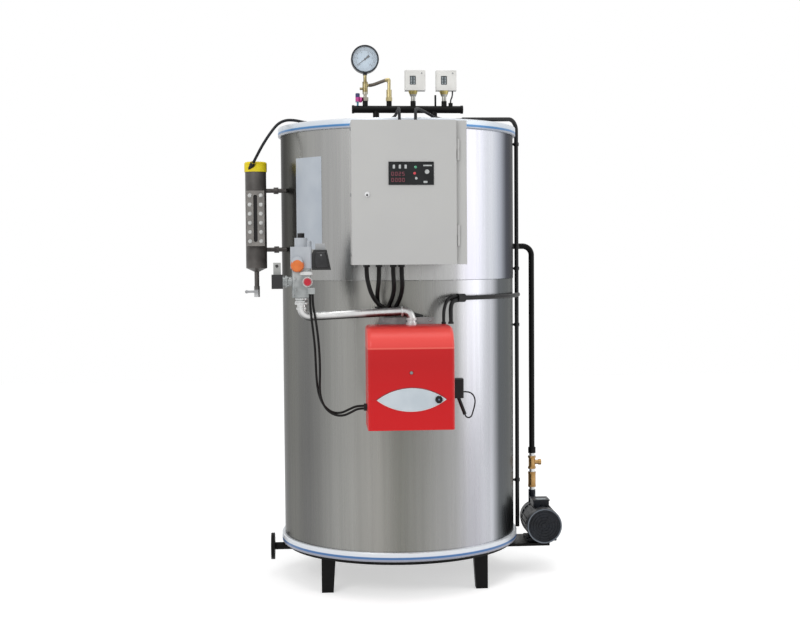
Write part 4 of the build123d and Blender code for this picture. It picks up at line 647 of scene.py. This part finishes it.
bleed_finish = banded("bleed_finish", (
    (2.003, (60, 130, 150)), (2.018, (60, 120, 145)), (2.02, (190, 60, 130)), (2.036, (180, 60, 140)),
    (2.038, (46, 50, 104)), (2.053, (52, 56, 112)),
), (0.35, 0.5), 0.0)
dress(bleed_finish, "bleed_valve")
bleed_blue = coating("bleed_blue", (34, 36, 80), (46, 48, 100), 0.01, (0.35, 0.5), 0.001, 0.00003)
bleed_cap = ((0.0078, 0), (0.009, 0.0012), (0.009, 0.0138), (0.0074, 0.0152))
turned_piece("bleed_cap", bleed_blue, "brass", (bleed_cap, (-0.178, -0.3, 2.038), (0, 0, 1), 32))
magenta_grip = coating("magenta_grip", (182, 58, 130), (204, 76, 150), 0.01, (0.35, 0.5), 0.001, 0.00003)
knob("bleed_grip", magenta_grip, (-0.1695, -0.3, 2.027), (1, 0, 0), 0.0105, 0.0095, 12)


# Pressure gauge: a dark enamelled case with a pale blue dial, black scale and needle, behind flat glass.
# The scale is printed on the dial, and the needle rests at nought.
def front_plate(work, points, back, front, ease=0.0):
    """Adds a plate that faces the front, from its outline's (x, z) points, with its front edge eased."""
    middle = sum((Vector(point) for point in points), Vector((0, 0))) / len(points)
    rings = []
    for depth, shrink in ((back, 0), (front + ease, 0), (front, ease)):
        ring = []
        for point in points:
            arm = Vector(point) - middle
            x, z = middle + arm * (1 - shrink / arm.length)
            ring.append(work.verts.new((x, depth, z)))
        rings.append(ring)
    skin(work, rings)


def bar(work, start, end, start_width, end_width, back, front):
    """Adds a flat bar that faces the front, between two (x, z) points."""
    along = (Vector(end) - Vector(start)).normalized()
    across = Vector((-along.y, along.x)) / 2
    points = (
        Vector(start) + across * start_width, Vector(start) - across * start_width,
        Vector(end) - across * end_width, Vector(end) + across * end_width,
    )
    front_plate(work, points, back, front, abs(front - back) / 4)


def add_number(work, number, x, z, height, back, front):
    """Adds a number that faces the front."""
    figures = bpy.data.curves.new("dial_number", "FONT")
    figures.body = str(number)
    figures.size = height
    figures.align_x = "CENTER"
    figures.align_y = "CENTER"
    figures.extrude = (back - front) / 2
    figures.resolution_u = 3
    shape = mesh_of(figures)
    shape.transform(Matrix.Translation((x, (back + front) / 2, z)) @ Matrix.Rotation(math.pi / 2, 4, "X"))
    work.from_mesh(shape)
    bpy.data.meshes.remove(shape)


gauge_enamel = coating(
    "gauge_enamel", (22, 26, 32), (38, 44, 52), 0.02, (0.3, 0.42), 0.001, 0.00005,
    edge=0.001, shine=0.35
)
dress(gauge_enamel, "pressure_gauge")
dial_paint = coating("dial_paint", (190, 207, 222), (198, 214, 227), 0.04, (0.5, 0.6), 0.004, 0.000005)
dial_ink = coating("dial_ink", (30, 34, 42), (44, 48, 56), 0.01, (0.45, 0.55), 0.002, 0.000005)
gauge_x = -0.147
gauge_z = 2.191
dial_radius = 0.0505
dial_back = -0.304
dial_front = -0.307
dial_edge = 0.0004
dial_depth = dial_back - dial_front
dial_profile = (
    (dial_radius, 0), (dial_radius, dial_depth - dial_edge), (dial_radius - dial_edge, dial_depth)
)
forward = (0, -1, 0)
dial_form = (dial_profile, (gauge_x, dial_back, gauge_z), forward, 64)
dial_piece = turned_piece("dial_face", dial_paint, "dial_face", dial_form)
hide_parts("gauge_dial")


def on_dial(degrees, reach):
    """A point on the dial, at an angle from its right, counted anticlockwise."""
    angle = math.radians(degrees)
    return (gauge_x + reach * math.cos(angle), gauge_z + reach * math.sin(angle))


ink_front = dial_front - 0.0003
nought_angle = 225
full_angle = -45
scale_steps = 50
scale_radius = 0.0365
scale_width = 0.0009
short_tick_inner = 0.0405
tick_outer = 0.0435
number_reach = 0.03
number_height = 0.0085
work = bmesh.new()
for step in range(scale_steps + 1):
    angle = nought_angle + (full_angle - nought_angle) * step / scale_steps
    tick_inner, tick_width = (scale_radius, 0.0013) if step % 5 == 0 else (short_tick_inner, 0.0006)
    tick_ends = (on_dial(angle, tick_inner), on_dial(angle, tick_outer))
    bar(work, *tick_ends, tick_width, tick_width, dial_front, ink_front)
    if step % 10 == 0:
        add_number(work, step // 5, *on_dial(angle, number_reach), number_height, dial_front, ink_front)
for step in range(2 * scale_steps):
    angles = [nought_angle + (full_angle - nought_angle) * end / 2 / scale_steps for end in (step, step + 1)]
    arc_ends = [on_dial(angle, scale_radius) for angle in angles]
    bar(work, *arc_ends, scale_width, scale_width, dial_front, ink_front)
make_piece("dial_scale", work, dial_ink)
needle_back = -0.3078
needle_front = -0.3086
hub_radius = 0.0045
work = bmesh.new()
centre = (gauge_x, gauge_z)
bar(work, centre, on_dial(nought_angle - 8, 0.038), 0.0034, 0.0014, needle_back, needle_front)
bar(work, centre, on_dial(nought_angle - 186, 0.023), 0.004, 0.012, needle_back, needle_front)
hub_profile = ((hub_radius, 0), (hub_radius, 0.0015), (hub_radius * 0.7, 0.0022))
turn(work, hub_profile, (gauge_x, dial_front, gauge_z), forward, 24)
make_piece("dial_needle", work, dial_ink)
clear_glass, glass_tree, glass_surface = start_finish("clear_glass")
feed(glass_tree, glass_surface, {
    "Base Color": (0.9, 0.95, 1, 1), "Alpha": 0.1,
    "Roughness": between(glass_tree, cloud(glass_tree, 0.02), 0.04, 0.09),
})
dress(clear_glass, "gauge_glass")


# Pressure switches: two moulded cases on the header, each with a sunk window over its two scales.
# The cover of each is held by a screw at its upper corner.
def rounded(x, z, width, height, corner):
    """The outline of a plate with round corners, as (x, z) points."""
    points = []
    for quarter, (side, rise) in enumerate(((1, 1), (-1, 1), (-1, -1), (1, -1))):
        for step in range(5):
            angle = math.radians(90 * quarter + 22.5 * step)
            points.append((
                x + side * (width / 2 - corner) + corner * math.cos(angle),
                z + rise * (height / 2 - corner) + corner * math.sin(angle),
            ))
    return points


case_plastic = coating(
    "case_plastic", (216, 215, 211), (228, 227, 223), 0.06, (0.4, 0.55), 0.002, 0.00003, edge=0.0015
)
dress(case_plastic, "pressure_switches")
window_dark = coating("window_dark", (44, 52, 56), (62, 70, 74), 0.02, (0.12, 0.22), 0.002, 0.00001, coat=0.5)
scale_pale = coating("scale_pale", (150, 160, 164), (176, 184, 187), 0.01, (0.4, 0.5), 0.002, 0.00001)
window_z = 2.105
window_back = -0.3188
window_front = -0.3198
window_ease = 0.0002
mark_front = -0.3202
mark_ease = 0.0001
switch_screws = []
window_work = bmesh.new()
mark_work = bmesh.new()
for x in (0.048, 0.176):
    window = rounded(x, window_z, width=0.0246, height=0.0356, corner=0.002)
    front_plate(window_work, window, window_back, window_front, window_ease)
    for side in (-1, 1):
        for row in range(-2, 3):
            mark_place = (x + side * 0.0058, window_z + row * 0.0062)
            mark = rounded(*mark_place, width=0.0062, height=0.0036, corner=0.0006)
            front_plate(mark_work, mark, window_front, mark_front, mark_ease)
    switch_screws.append((x + 0.036, -0.323, 2.134))
make_piece("switch_windows", window_work, window_dark)
make_piece("switch_scales", mark_work, scale_pale)
fasten("switch_screws", rivet_steel, screw, switch_screws, forward, 0.0035, 0.0012)

# Cabinet: a folded steel box on two rails, with one door hinged at its right, powder coated pale grey.
# Screws at the left hold the inner plate.
cabinet_paint = coating(
    "cabinet_paint", (184, 184, 183), (190, 190, 188), 0.5, (0.46, 0.56), 0.0014, 0.00006,
    edge=0.002
)
dress(cabinet_paint, "cabinet_box", "cabinet_door", "cabinet_rails")
cabinet_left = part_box("cabinet_box")[0][0]
plate_screws = [(cabinet_left, -0.71, height) for height in (1.869, 1.619, 1.392)]
fasten("cabinet_screws", rivet_steel, screw, plate_screws, (-1, 0, 0), 0.007, 0.004)

# Display panel: a dark film in a thin frame, with lamps, two rows of red digits, a knob and a key.
# The marks are printed on the film and the lamps stand slightly proud of it.
panel_film = coating("panel_film", (18, 20, 21), (28, 30, 32), 0.06, (0.3, 0.4), 0.002, 0.00001, shine=0.3)
dress(panel_film, "display_panel")
white_mark = coating("white_mark", (170, 174, 174), (190, 193, 193), 0.02, (0.4, 0.5), 0.001, 0.00001)
red_digit = coating("red_digit", (122, 60, 72), (142, 72, 84), 0.01, (0.35, 0.45), 0.001, 0.00001)
green_lens = coating("green_lens", (64, 150, 112), (90, 176, 136), 0.01, (0.2, 0.3), 0.001, 0.00001, coat=0.5)
red_lens = coating("red_lens", (196, 46, 60), (214, 64, 76), 0.01, (0.2, 0.3), 0.001, 0.00001, coat=0.5)
film_back = -0.7795
film_front = -0.7803
lens_front = -0.7812
digit_bars = {"0": "abcdef", "2": "abdeg", "5": "acdfg"}
bar_ends = {
    "a": ((0, 1), (1, 1)), "b": ((1, 1), (1, 0.5)), "c": ((1, 0.5), (1, 0)), "d": ((0, 0), (1, 0)),
    "e": ((0, 0.5), (0, 0)), "f": ((0, 1), (0, 0.5)), "g": ((0, 0.5), (1, 0.5)),
}
digit_width = 0.0072
digit_height = 0.0125
digit_pitch = 0.0135
digit_left = -0.068
digit_stroke = 0.0019
work = bmesh.new()
for reading, level in (("0025", 1.6885), ("0000", 1.6655)):
    for count, figure in enumerate(reading):
        left = digit_left + count * digit_pitch
        for letter in digit_bars[figure]:
            ends = [
                (left + across * digit_width, level + rise * digit_height)
                for across, rise in bar_ends[letter]
            ]
            bar(work, *ends, digit_stroke, digit_stroke, film_back, film_front)
make_piece("display_digits", work, red_digit, "door")
work = bmesh.new()
marks = [(x, 1.7215, 0.0085, 0.0145, 0.002) for x in (-0.0595, -0.037, -0.0152)]
for mark in (*marks, (0.0676, 1.7257, 0.033, 0.005, 0.001)):
    front_plate(work, rounded(*mark), film_back, film_front, 0.0002)
front_plate(work, rounded(0.0594, 1.664, 0.015, 0.008, 0.0015), film_back, lens_front, 0.0003)
lens_profile = ((0.005, 0), (0.005, 0.0012), (0.0036, 0.0018))
turn(work, lens_profile, (0.0246, film_back, 1.6777), forward, 24)
knob_profile = ((0.0086, 0), (0.0086, 0.0078), (0.0074, 0.0088))
turn(work, knob_profile, (0.065, film_back, 1.702), forward, 32)
make_piece("display_marks", work, white_mark, "door")
for name, lens, x, z in (("green_lamp", green_lens, 0.0225, 1.7195), ("red_lamp", red_lens, 0.0184, 1.6965)):
    lens_form = (lens_profile, (x, film_back, z), forward, 24)
    turned_piece(name, lens, "display_front", lens_form, body="door")

# Door lock: a chromed barrel with a black key slot under it.
# It turns a cam behind the door's left edge.
chrome = coating("chrome", (205, 206, 208), (228, 229, 230), 0.01, (0.12, 0.2), 0.0008, 0.00002, metallic=1.0)
dress(chrome, "door_lock")
lock_x, lock_y, lock_z = (-0.161, -0.784, 1.618)
slot_black = coating("slot_black", (34, 34, 35), (48, 48, 50), 0.01, (0.4, 0.5), 0.001, 0.00003)
keyhole_profile = ((0.0042, 0), (0.0042, 0.0006), (0.0036, 0.001))
keyhole_form = (keyhole_profile, (lock_x, lock_y, lock_z - 0.0032), forward, 24)
turned_piece("lock_slot", slot_black, "lock_chrome", keyhole_form, body="door")

# Burner: a moulded red cover, glossy and slightly uneven, over a cast metal housing and flange.
# A sunk screw holds the cover, and two bolts show on the flange above it.
def bolt(work, place, along, width, height):
    """Adds a hexagon bolt head on its washer."""
    washer = height / 4
    turn(work, ((width * 0.64, 0), (width * 0.64, washer)), place, along, 24)
    head = ((width * 0.56, washer), (width * 0.56, height * 0.9), (width * 0.48, height))
    turn(work, head, place, along, 6)


# The cover's red is painted lighter coral over its rolled top as a painted sheen, with a painted highlight
# line along the crease under it.
burner_red = banded("burner_red", (
    (0.66, (206, 22, 28)), (0.82, (202, 22, 28)), (0.98, (190, 24, 28)), (1.0335, (194, 28, 32)),
    (1.037, (240, 112, 100)), (1.0415, (226, 74, 70)), (1.085, (236, 84, 78)), (1.108, (228, 76, 70)),
    (1.119, (196, 34, 36)),
), (0.3, 0.38), 0.0, grain=0.00001, shine=0.3)
dress(burner_red, "burner_cover")
cast_metal = coating(
    "cast_metal", (132, 136, 136), (164, 167, 167), 0.04, (0.34, 0.5), 0.0014, 0.0001,
    metallic=0.8, edge=0.001
)
dress(cast_metal, "burner_base", "gas_valve_body")
cover_front = -0.8
screw_sunk = 0.003
screw_z = 0.945
work = bmesh.new()
sunk_profile = ((0.0065, 0), (0.0065, 0.0012), (0.0055, 0.002), (0.0025, 0.002), (0.0022, 0.0008))
turn(work, sunk_profile, (0, cover_front + screw_sunk, screw_z), forward, 24)
for x in (-0.092, 0.092):
    bolt(work, (x, -0.562, 1.131), forward, width=0.011, height=0.006)
make_piece("burner_screws", work, rivet_steel)


# Burner label: a pointed oval plate of grey-blue plastic, with a dark sheet showing above it as a painted
# shadow along its upper edge, and a pale sheet showing below it as a painted highlight along its lower edge.
# The black reset button stands at its right.
def pointed_oval(x, z, length, height):
    """The outline between two arcs that meet in points at the left and right, as (x, z) points."""
    radius = ((length / 2) ** 2 + (height / 2) ** 2) / height
    half = math.asin(length / 2 / radius)
    drop = radius - height / 2
    points = []
    for direction in (1, -1):
        for step in range(16):
            angle = half * (1 - step / 8)
            across = direction * radius * math.sin(angle)
            points.append((x - across, z + direction * (radius * math.cos(angle) - drop)))
    return points


label_plastic = coating("label_plastic", (190, 200, 208), (202, 211, 218), 0.09, (0.3, 0.4), 0.003, 0.00002)
# The pale rim is a painted highlight on the label's lower edge, and the dark seat a painted shadow along its
# upper edge.
label_painted_highlight = coating("label_painted_highlight", (214, 214, 214), (226, 226, 226), 0.05, (0.3, 0.4), 0.002, 0.00002)
label_painted_shadow = coating("label_painted_shadow", (104, 40, 52), (124, 52, 62), 0.05, (0.4, 0.5), 0.002, 0.00002)
label_z = 0.843
label_length = 0.268
label_height = 0.091
label_layers = (
    ("label_painted_shadow_edge", label_painted_shadow, 0.0016, 0.0, -0.0008),
    ("label_painted_highlight_edge", label_painted_highlight, -0.0006, -0.0016, -0.0016),
    ("label_face", label_plastic, 0.0, -0.0056, -0.003),
)
for name, finish, rise, growth, reach in label_layers:
    work = bmesh.new()
    outline = pointed_oval(0, label_z + rise, label_length + 2.4 * growth, label_height + growth)
    front_plate(work, outline, cover_front, cover_front + reach, 0.0003)
    label_piece = make_piece(name, work, finish)
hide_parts("burner_label")
black_plastic = coating(
    "black_plastic", (14, 14, 15), (26, 26, 28), 0.03, (0.42, 0.56), 0.0012, 0.00006,
    edge=0.001, shine=0.3
)
button_x = 0.103
button_profile = ((0.014, 0), (0.014, 0.0085), (0.0128, 0.0096), (0.0095, 0.0096), (0.009, 0.0082))
button_form = (button_profile, (button_x, cover_front, label_z), forward, 40)
turned_piece("reset_button", black_plastic, "black_plastic", button_form)
dot_profile = ((0.0032, 0), (0.0032, 0.0004), (0.0024, 0.0008))
dot_blue = coating("dot_blue", (96, 106, 128), (112, 122, 144), 0.004, (0.4, 0.5), 0.001, 0.00001)
dot_form = (dot_profile, (button_x, cover_front - 0.0082, label_z), forward, 24)
turned_piece("reset_dot", dot_blue, "label_plate", dot_form)

# Plug, glands and conduits: moulded black plastic, with a fine spark grain and softened edges.
# Two ribbed flexible sleeves carry the burner's wiring up from its flange to the branch conduit.
dress(black_plastic, "burner_plug", "cable_glands", "conduit_riser", "conduit_branch")
flex_pitch = 0.0032
flex_steps = 4
flex_groove = 0.0009
flex_routes = (
    ("thin_flex", 0.0066, (
        (0.143, -0.592, 1.126), (0.143, -0.592, 1.144), (0.1445, -0.58, 1.163), (0.15, -0.56, 1.184),
        (0.161, -0.536, 1.206), (0.179, -0.508, 1.222), (0.2079, -0.4833, 1.225),
    )),
    ("thick_flex", 0.0084, (
        (0.172, -0.59, 1.126), (0.172, -0.59, 1.142), (0.1725, -0.577, 1.16), (0.175, -0.556, 1.178),
        (0.181, -0.53, 1.195), (0.192, -0.504, 1.206), (0.2079, -0.4833, 1.208),
    )),
)
for name, flex_radius, flex_points in flex_routes:
    coarse = smooth_route(flex_points)
    places = []
    for before, behind in zip(coarse, coarse[1:]):
        run = behind - before
        parts = max(1, round(run.length / (flex_pitch / flex_steps)))
        places.extend(before + run * part / parts for part in range(parts))
    radii = [flex_radius - flex_groove * (count % flex_steps > 1) for count in range(len(places))]
    work = bmesh.new()
    sweep_tube(work, places, radii)
    flex_piece = make_piece(name, work, black_plastic, crease=80)
    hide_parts("burner_conduits")

# Gas pipe: galvanised steel tube with banded elbows, from the valve to the burner.
# A union joins it to the valve, and its two rings are bright from the wrench.
zinc_coat_and_painted_shade = coating(
    "zinc_coat_and_painted_shade", (196, 197, 197), (214, 214, 213), 0.08, (0.26, 0.36), 0.003, 0.00003, metallic=0.9
)


def darken_below(finish, least):
    """Paints shade into a finish's colour where it faces down, standing in for the shaded parts under it that
    would be mirrored there.
    """
    tree = finish.node_tree
    surface = tree.nodes["Principled BSDF"]
    colour = surface.inputs["Base Color"].links[0].from_socket
    facing = tree.nodes.new("ShaderNodeNewGeometry").outputs["Normal"]
    rise = add_step(tree, "ShaderNodeSeparateXYZ", {"Vector": facing}).outputs["Z"]
    share = between(tree, rise, least, 1, -0.75, -0.05)
    feed(tree, surface, {"Base Color": scaled(tree, colour, share)})


# The pipe's underside is painted dark, as painted shade.
darken_below(zinc_coat_and_painted_shade, 0.06)
dress(zinc_coat_and_painted_shade, "gas_pipe")
union_x, union_y = (-0.412, -0.62)
bright_ring = coating(
    "bright_ring", (196, 198, 198), (216, 217, 216), 0.02, (0.28, 0.38), 0.001, 0.00003,
    metallic=0.6
)
union_forms = []
ring_edge = 0.0015
for ring_radius, ring_low, ring_high in ((0.0264, 1.201, 1.209), (0.0236, 1.218, 1.2265)):
    ring_height = ring_high - ring_low
    ring_profile = (
        (ring_radius - ring_edge, 0), (ring_radius, ring_edge),
        (ring_radius, ring_height - ring_edge), (ring_radius - ring_edge, ring_height),
    )
    union_forms.append((ring_profile, (union_x, union_y, ring_low)))
turned_piece("union_rings", bright_ring, "galvanised", *union_forms)
elbow_ring = ((0.0185, 0), (0.0206, 0.0015), (0.0206, 0.0075), (0.0185, 0.009))
elbow_ring_half = 0.0045
gas_left = Vector((union_x, union_y, 1.153))
gas_right = Vector((0.014, union_y, 1.172))
gas_bend = 0.032
gas_run = (gas_right - gas_left).normalized()
turned_piece(
    "elbow_rings", bright_ring, "galvanised",
    (elbow_ring, gas_left + gas_run * gas_bend, gas_run),
    (elbow_ring, gas_right - gas_run * gas_bend, -gas_run),
    (elbow_ring, gas_left + Vector((0, 0, gas_bend - elbow_ring_half))),
    (elbow_ring, gas_right - Vector((0, 0, gas_bend + elbow_ring_half))),
)

# Gas valve: a cast body with a red test cap, under a moulded grey actuator with an orange knob.
# A bright clamp joins the two, and a black cap closes the top. The caps and the knob are moulded plastic.
actuator_plastic = coating(
    "actuator_plastic", (170, 175, 182), (182, 187, 193), 0.06, (0.35, 0.5), 0.002, 0.00003,
    edge=0.0012
)
dress(actuator_plastic, "gas_valve_actuator")
red_cap = coating("red_cap", (176, 22, 44), (196, 32, 54), 0.02, (0.3, 0.42), 0.001, 0.00003)
orange_knob = coating("orange_knob", (208, 106, 48), (222, 120, 58), 0.02, (0.34, 0.46), 0.001, 0.00003)


valve_face = -0.656
cap_place = (-0.388, valve_face, 1.288)
knob("valve_cap_collar", bright_ring, cap_place, forward, 0.0195, 0.003)
knob("valve_red_cap", red_cap, cap_place, forward, 0.0156, 0.0146, ribs=16)
knob("actuator_knob", orange_knob, (-0.426, -0.657, 1.352), forward, 0.0245, 0.0236, ribs=24)
knob("actuator_cap", black_plastic, (union_x, union_y, 1.456), (0, 0, 1), 0.0136, 0.0215)
post_profile = ((0.0125, 0), (0.0125, 0.0285), (0.0105, 0.0305))
turned_piece("actuator_post", actuator_plastic, "actuator_case", (post_profile, (-0.384, union_y, 1.4165)))
clamp_back = valve_face + 0.0005
work = bmesh.new()
clamp = rounded(-0.393, 1.3215, width=0.048, height=0.015, corner=0.004)
front_plate(work, clamp, clamp_back, clamp_back - 0.0085, 0.003)
make_piece("actuator_clamp", work, bright_ring)
plug_places = ((-0.434, clamp_back, 1.258), (-0.436, clamp_back, 1.3))
fasten("valve_test_plugs", cast_metal, bolt, plug_places, forward, 0.009, 0.006)
valve_screws = [(x, valve_face, height) for x in (-0.442, -0.382) for height in (1.238, 1.33)]
fasten("valve_screws", rivet_steel, screw, valve_screws, forward, 0.0035, 0.002)

# Gas pressure switch and pilot valve: black moulded boxes on the valve's two sides.
# The pilot valve has a cast neck flange and a metal plug, and the switch a screwed lid and a metal tab.
switch_finish = banded("switch_finish", (
    (1.334, (20, 20, 21)), (1.4115, (28, 28, 30)), (1.4125, (158, 160, 162)), (1.436, (176, 178, 180)),
), (0.4, 0.52), 0.0, grain=0.00008)
dress(switch_finish, "gas_pressure_switch")
switch_low, switch_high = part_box("gas_pressure_switch")
lid_left = switch_low[0] + 0.012
lid_right = switch_high[0] - 0.009
lid_low = switch_low[2] + 0.009
lid_top = 1.403
lid_front = switch_low[1] - 0.005
lid_black = coating("lid_black", (34, 34, 36), (50, 50, 52), 0.03, (0.3, 0.42), 0.0012, 0.00005, shine=0.4)
work = bmesh.new()
front_plate(work, (
    (lid_left, lid_low), (lid_right, lid_low), (lid_right - 0.013, lid_top), (lid_left + 0.006, lid_top),
    (lid_left, lid_top - 0.008),
), switch_low[1] + 0.001, lid_front, 0.002)
make_piece("switch_lid", work, lid_black)
lid_screws = [(lid_left + 0.024, lid_front, lid_top - 0.012)]
fasten("switch_lid_screw", rivet_steel, screw, lid_screws, forward, 0.0032, 0.0016)
pilot_finish = banded("pilot_finish", (
    (1.262, (22, 22, 23)), (1.3165, (28, 28, 30)), (1.3175, (150, 152, 150)), (1.363, (172, 174, 172)),
), (0.4, 0.52), 0.0, grain=0.00006)
dress(pilot_finish, "pilot_solenoid")
neck_start = (-0.4842, union_y, 1.2895)
neck_bolt_reach = 0.018
neck_bolt_circle = 0.0205
work = bmesh.new()
neck_profile = (
    (0.0196, 0), (0.0196, 0.009), (0.0235, 0.01), (0.0235, 0.018), (0.0196, 0.019), (0.0196, 0.0362)
)
turn(work, neck_profile, neck_start, (1, 0, 0), 36)
for angle in circle_angles(4):
    around = Vector((0, math.cos(angle), math.sin(angle))) * neck_bolt_circle
    bolt(work, Vector(neck_start) + Vector((neck_bolt_reach, 0, 0)) + around, (1, 0, 0), 0.008, 0.006)
make_piece("pilot_neck", work, cast_metal)
knob("pilot_plug_pin", slot_black, (-0.505, -0.635, 1.35), forward, 0.006, 0.002)

# Level column: a painted steel tube with a yellow cap, and two valved arms to the boiler.
# The column's paint is dark grey, brushed and dusty, and that of the arms is darker and glossier.
column_grey = coating(
    "column_grey", (72, 69, 67), (92, 89, 86), 0.09, (0.36, 0.48), 0.0022, 0.00008,
    metallic=0.2, shine=0.4
)
dress(column_grey, "level_column")
cap_yellow = coating(
    "cap_yellow", (224, 198, 20), (238, 218, 44), 0.04, (0.4, 0.5), 0.002, 0.00005, shine=0.35
)
dress(cap_yellow, "column_cap")
gland_root = Vector((-0.628, -0.178, 1.748))
gland_end = Vector((-0.61, -0.204, 1.778))
gland_run = gland_end - gland_root
gland_profile = (
    (0.0094, 0), (0.0094, gland_run.length * 0.55), (0.0112, gland_run.length * 0.57),
    (0.0112, gland_run.length * 0.9), (0.0085, gland_run.length),
)
turned_piece("cap_gland", black_plastic, "black_plastic", (gland_profile, gland_root, gland_run, 24))
arm_paint = coating("arm_paint", (54, 51, 50), (76, 73, 71), 0.02, (0.3, 0.42), 0.001, 0.00005, metallic=0.6)
dress(arm_paint, "column_arms")
drain_finish = banded("drain_finish", (
    (1.217, (190, 191, 192)), (1.244, (176, 177, 178)), (1.25, (92, 90, 88)), (1.263, (84, 82, 80)),
), (0.28, 0.42), 0.7)
dress(drain_finish, "drain_cock")

# Level gauge plate: a steel frame clamped over a ridged reflex glass by two rows of bright bolts.
# The glass looks dark where there is water behind it.
plate_paint = coating(
    "plate_paint", (112, 109, 106), (132, 129, 125), 0.05, (0.36, 0.48), 0.002, 0.00008,
    metallic=0.3
)
dress(plate_paint, "level_plate")
reflex_glass = coating(
    "reflex_glass", (14, 13, 13), (24, 22, 22), 0.03, (0.3, 0.4), 0.002, 0.00002, shine=0.3
)
dress(reflex_glass, "level_glass")
plate_x = -0.604
plate_front = -0.212
plate_bolt_spread = 0.023
plate_bolt_start = 1.451
plate_bolt_pitch = 0.038
plate_bolt_rows = 6
bolt_zinc = coating(
    "bolt_zinc", (176, 177, 176), (198, 199, 197), 0.01, (0.3, 0.4), 0.001, 0.00005, metallic=0.5
)
fasten("plate_bolts", bolt_zinc, bolt, [
    (plate_x + side * plate_bolt_spread, plate_front, plate_bolt_start + row * plate_bolt_pitch)
    for row in range(plate_bolt_rows) for side in (-1, 1)
], forward, 0.013, 0.0062)

# Feed valves: a brass check valve and stop valve between pale plated unions, over the pump.
# The brass is cast and turned, and still fairly bright.
feed_finish = banded("feed_finish", (
    (0.33, (198, 200, 200)), (0.342, (198, 200, 200)), (0.3435, (150, 116, 72)), (0.38, (172, 138, 92)),
    (0.4105, (148, 114, 70)), (0.412, (204, 205, 204)), (0.424, (204, 205, 204)), (0.4255, (154, 120, 76)),
    (0.455, (174, 140, 94)), (0.4825, (150, 116, 72)), (0.484, (200, 201, 200)), (0.496, (200, 201, 200)),
), (0.24, 0.38), 0.95)
dress(feed_finish, "feed_valves")

# Feed pump: a painted motor with its fan hood towards the front, and the pump casing behind it.
# A wire guard closes the fan hood, and an oval badge plate lies on the terminal box.
pump_grey = coating(
    "pump_grey", (18, 22, 28), (34, 38, 45), 0.06, (0.38, 0.5), 0.0018, 0.00008,
    edge=0.001, shine=0.3
)
dress(pump_grey, "pump_motor", "pump_casing")
# The hood rim is painted lighter than the hood, as a painted highlight along it.
rim_painted_highlight = coating(
    "rim_painted_highlight", (92, 99, 108), (112, 119, 128), 0.03, (0.3, 0.42), 0.0015, 0.00005,
    metallic=0.2
)
motor_x = 0.623
motor_z = 0.209
motor_front = -0.13
motor_radius = 0.076
guard_depth = 0.003
guard_wire = 0.0013
rim_profile = (
    (motor_radius - 0.0065, 0.004), (motor_radius - 0.0055, -0.001), (motor_radius - 0.001, -0.001),
    (motor_radius - 0.0002, 0.004),
)
backward = (0, 1, 0)
rim_form = (rim_profile, (motor_x, motor_front, motor_z), backward, 64, False)
turned_piece("hood_rim", rim_painted_highlight, "pump_paint", rim_form)
guard_y = motor_front + guard_depth
guard_reach = 0.0595
wire_angles = (*circle_angles(8, 0), math.tau)
work = bmesh.new()
for ring_radius in (0.012, 0.024, 0.036, 0.048, 0.06):
    wire_profile = [
        (ring_radius + guard_wire * math.cos(angle), guard_wire * math.sin(angle)) for angle in wire_angles
    ]
    turn(work, wire_profile, (motor_x, guard_y, motor_z), backward, 48, False)
for angle in circle_angles(8):
    outward = Vector((math.cos(angle), 0, math.sin(angle)))
    start = Vector((motor_x, guard_y + 2 * guard_wire, motor_z)) + outward * 0.01
    turn(work, ((guard_wire, 0), (guard_wire, guard_reach)), start, outward, 8)
bmesh.ops.remove_doubles(work, verts=work.verts, dist=0.000001)
make_piece("fan_guard", work, pump_grey)
badge_y = -0.02
badge_half_width = 0.024
badge_half_depth = 0.013
badge_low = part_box("pump_motor")[1][2]
badge_high = badge_low + 0.0008
badge_edge = 0.0004
work = bmesh.new()
badge_rings = []
for height, shrink in ((badge_low, 0), (badge_high, badge_edge)):
    badge_rings.append([
        work.verts.new((
            motor_x + (badge_half_width - shrink) * math.cos(angle),
            badge_y + (badge_half_depth - shrink) * math.sin(angle), height,
        ))
        for angle in circle_angles(32, 0)
    ])
skin(work, badge_rings)
make_piece("motor_badge", work, scale_pale)
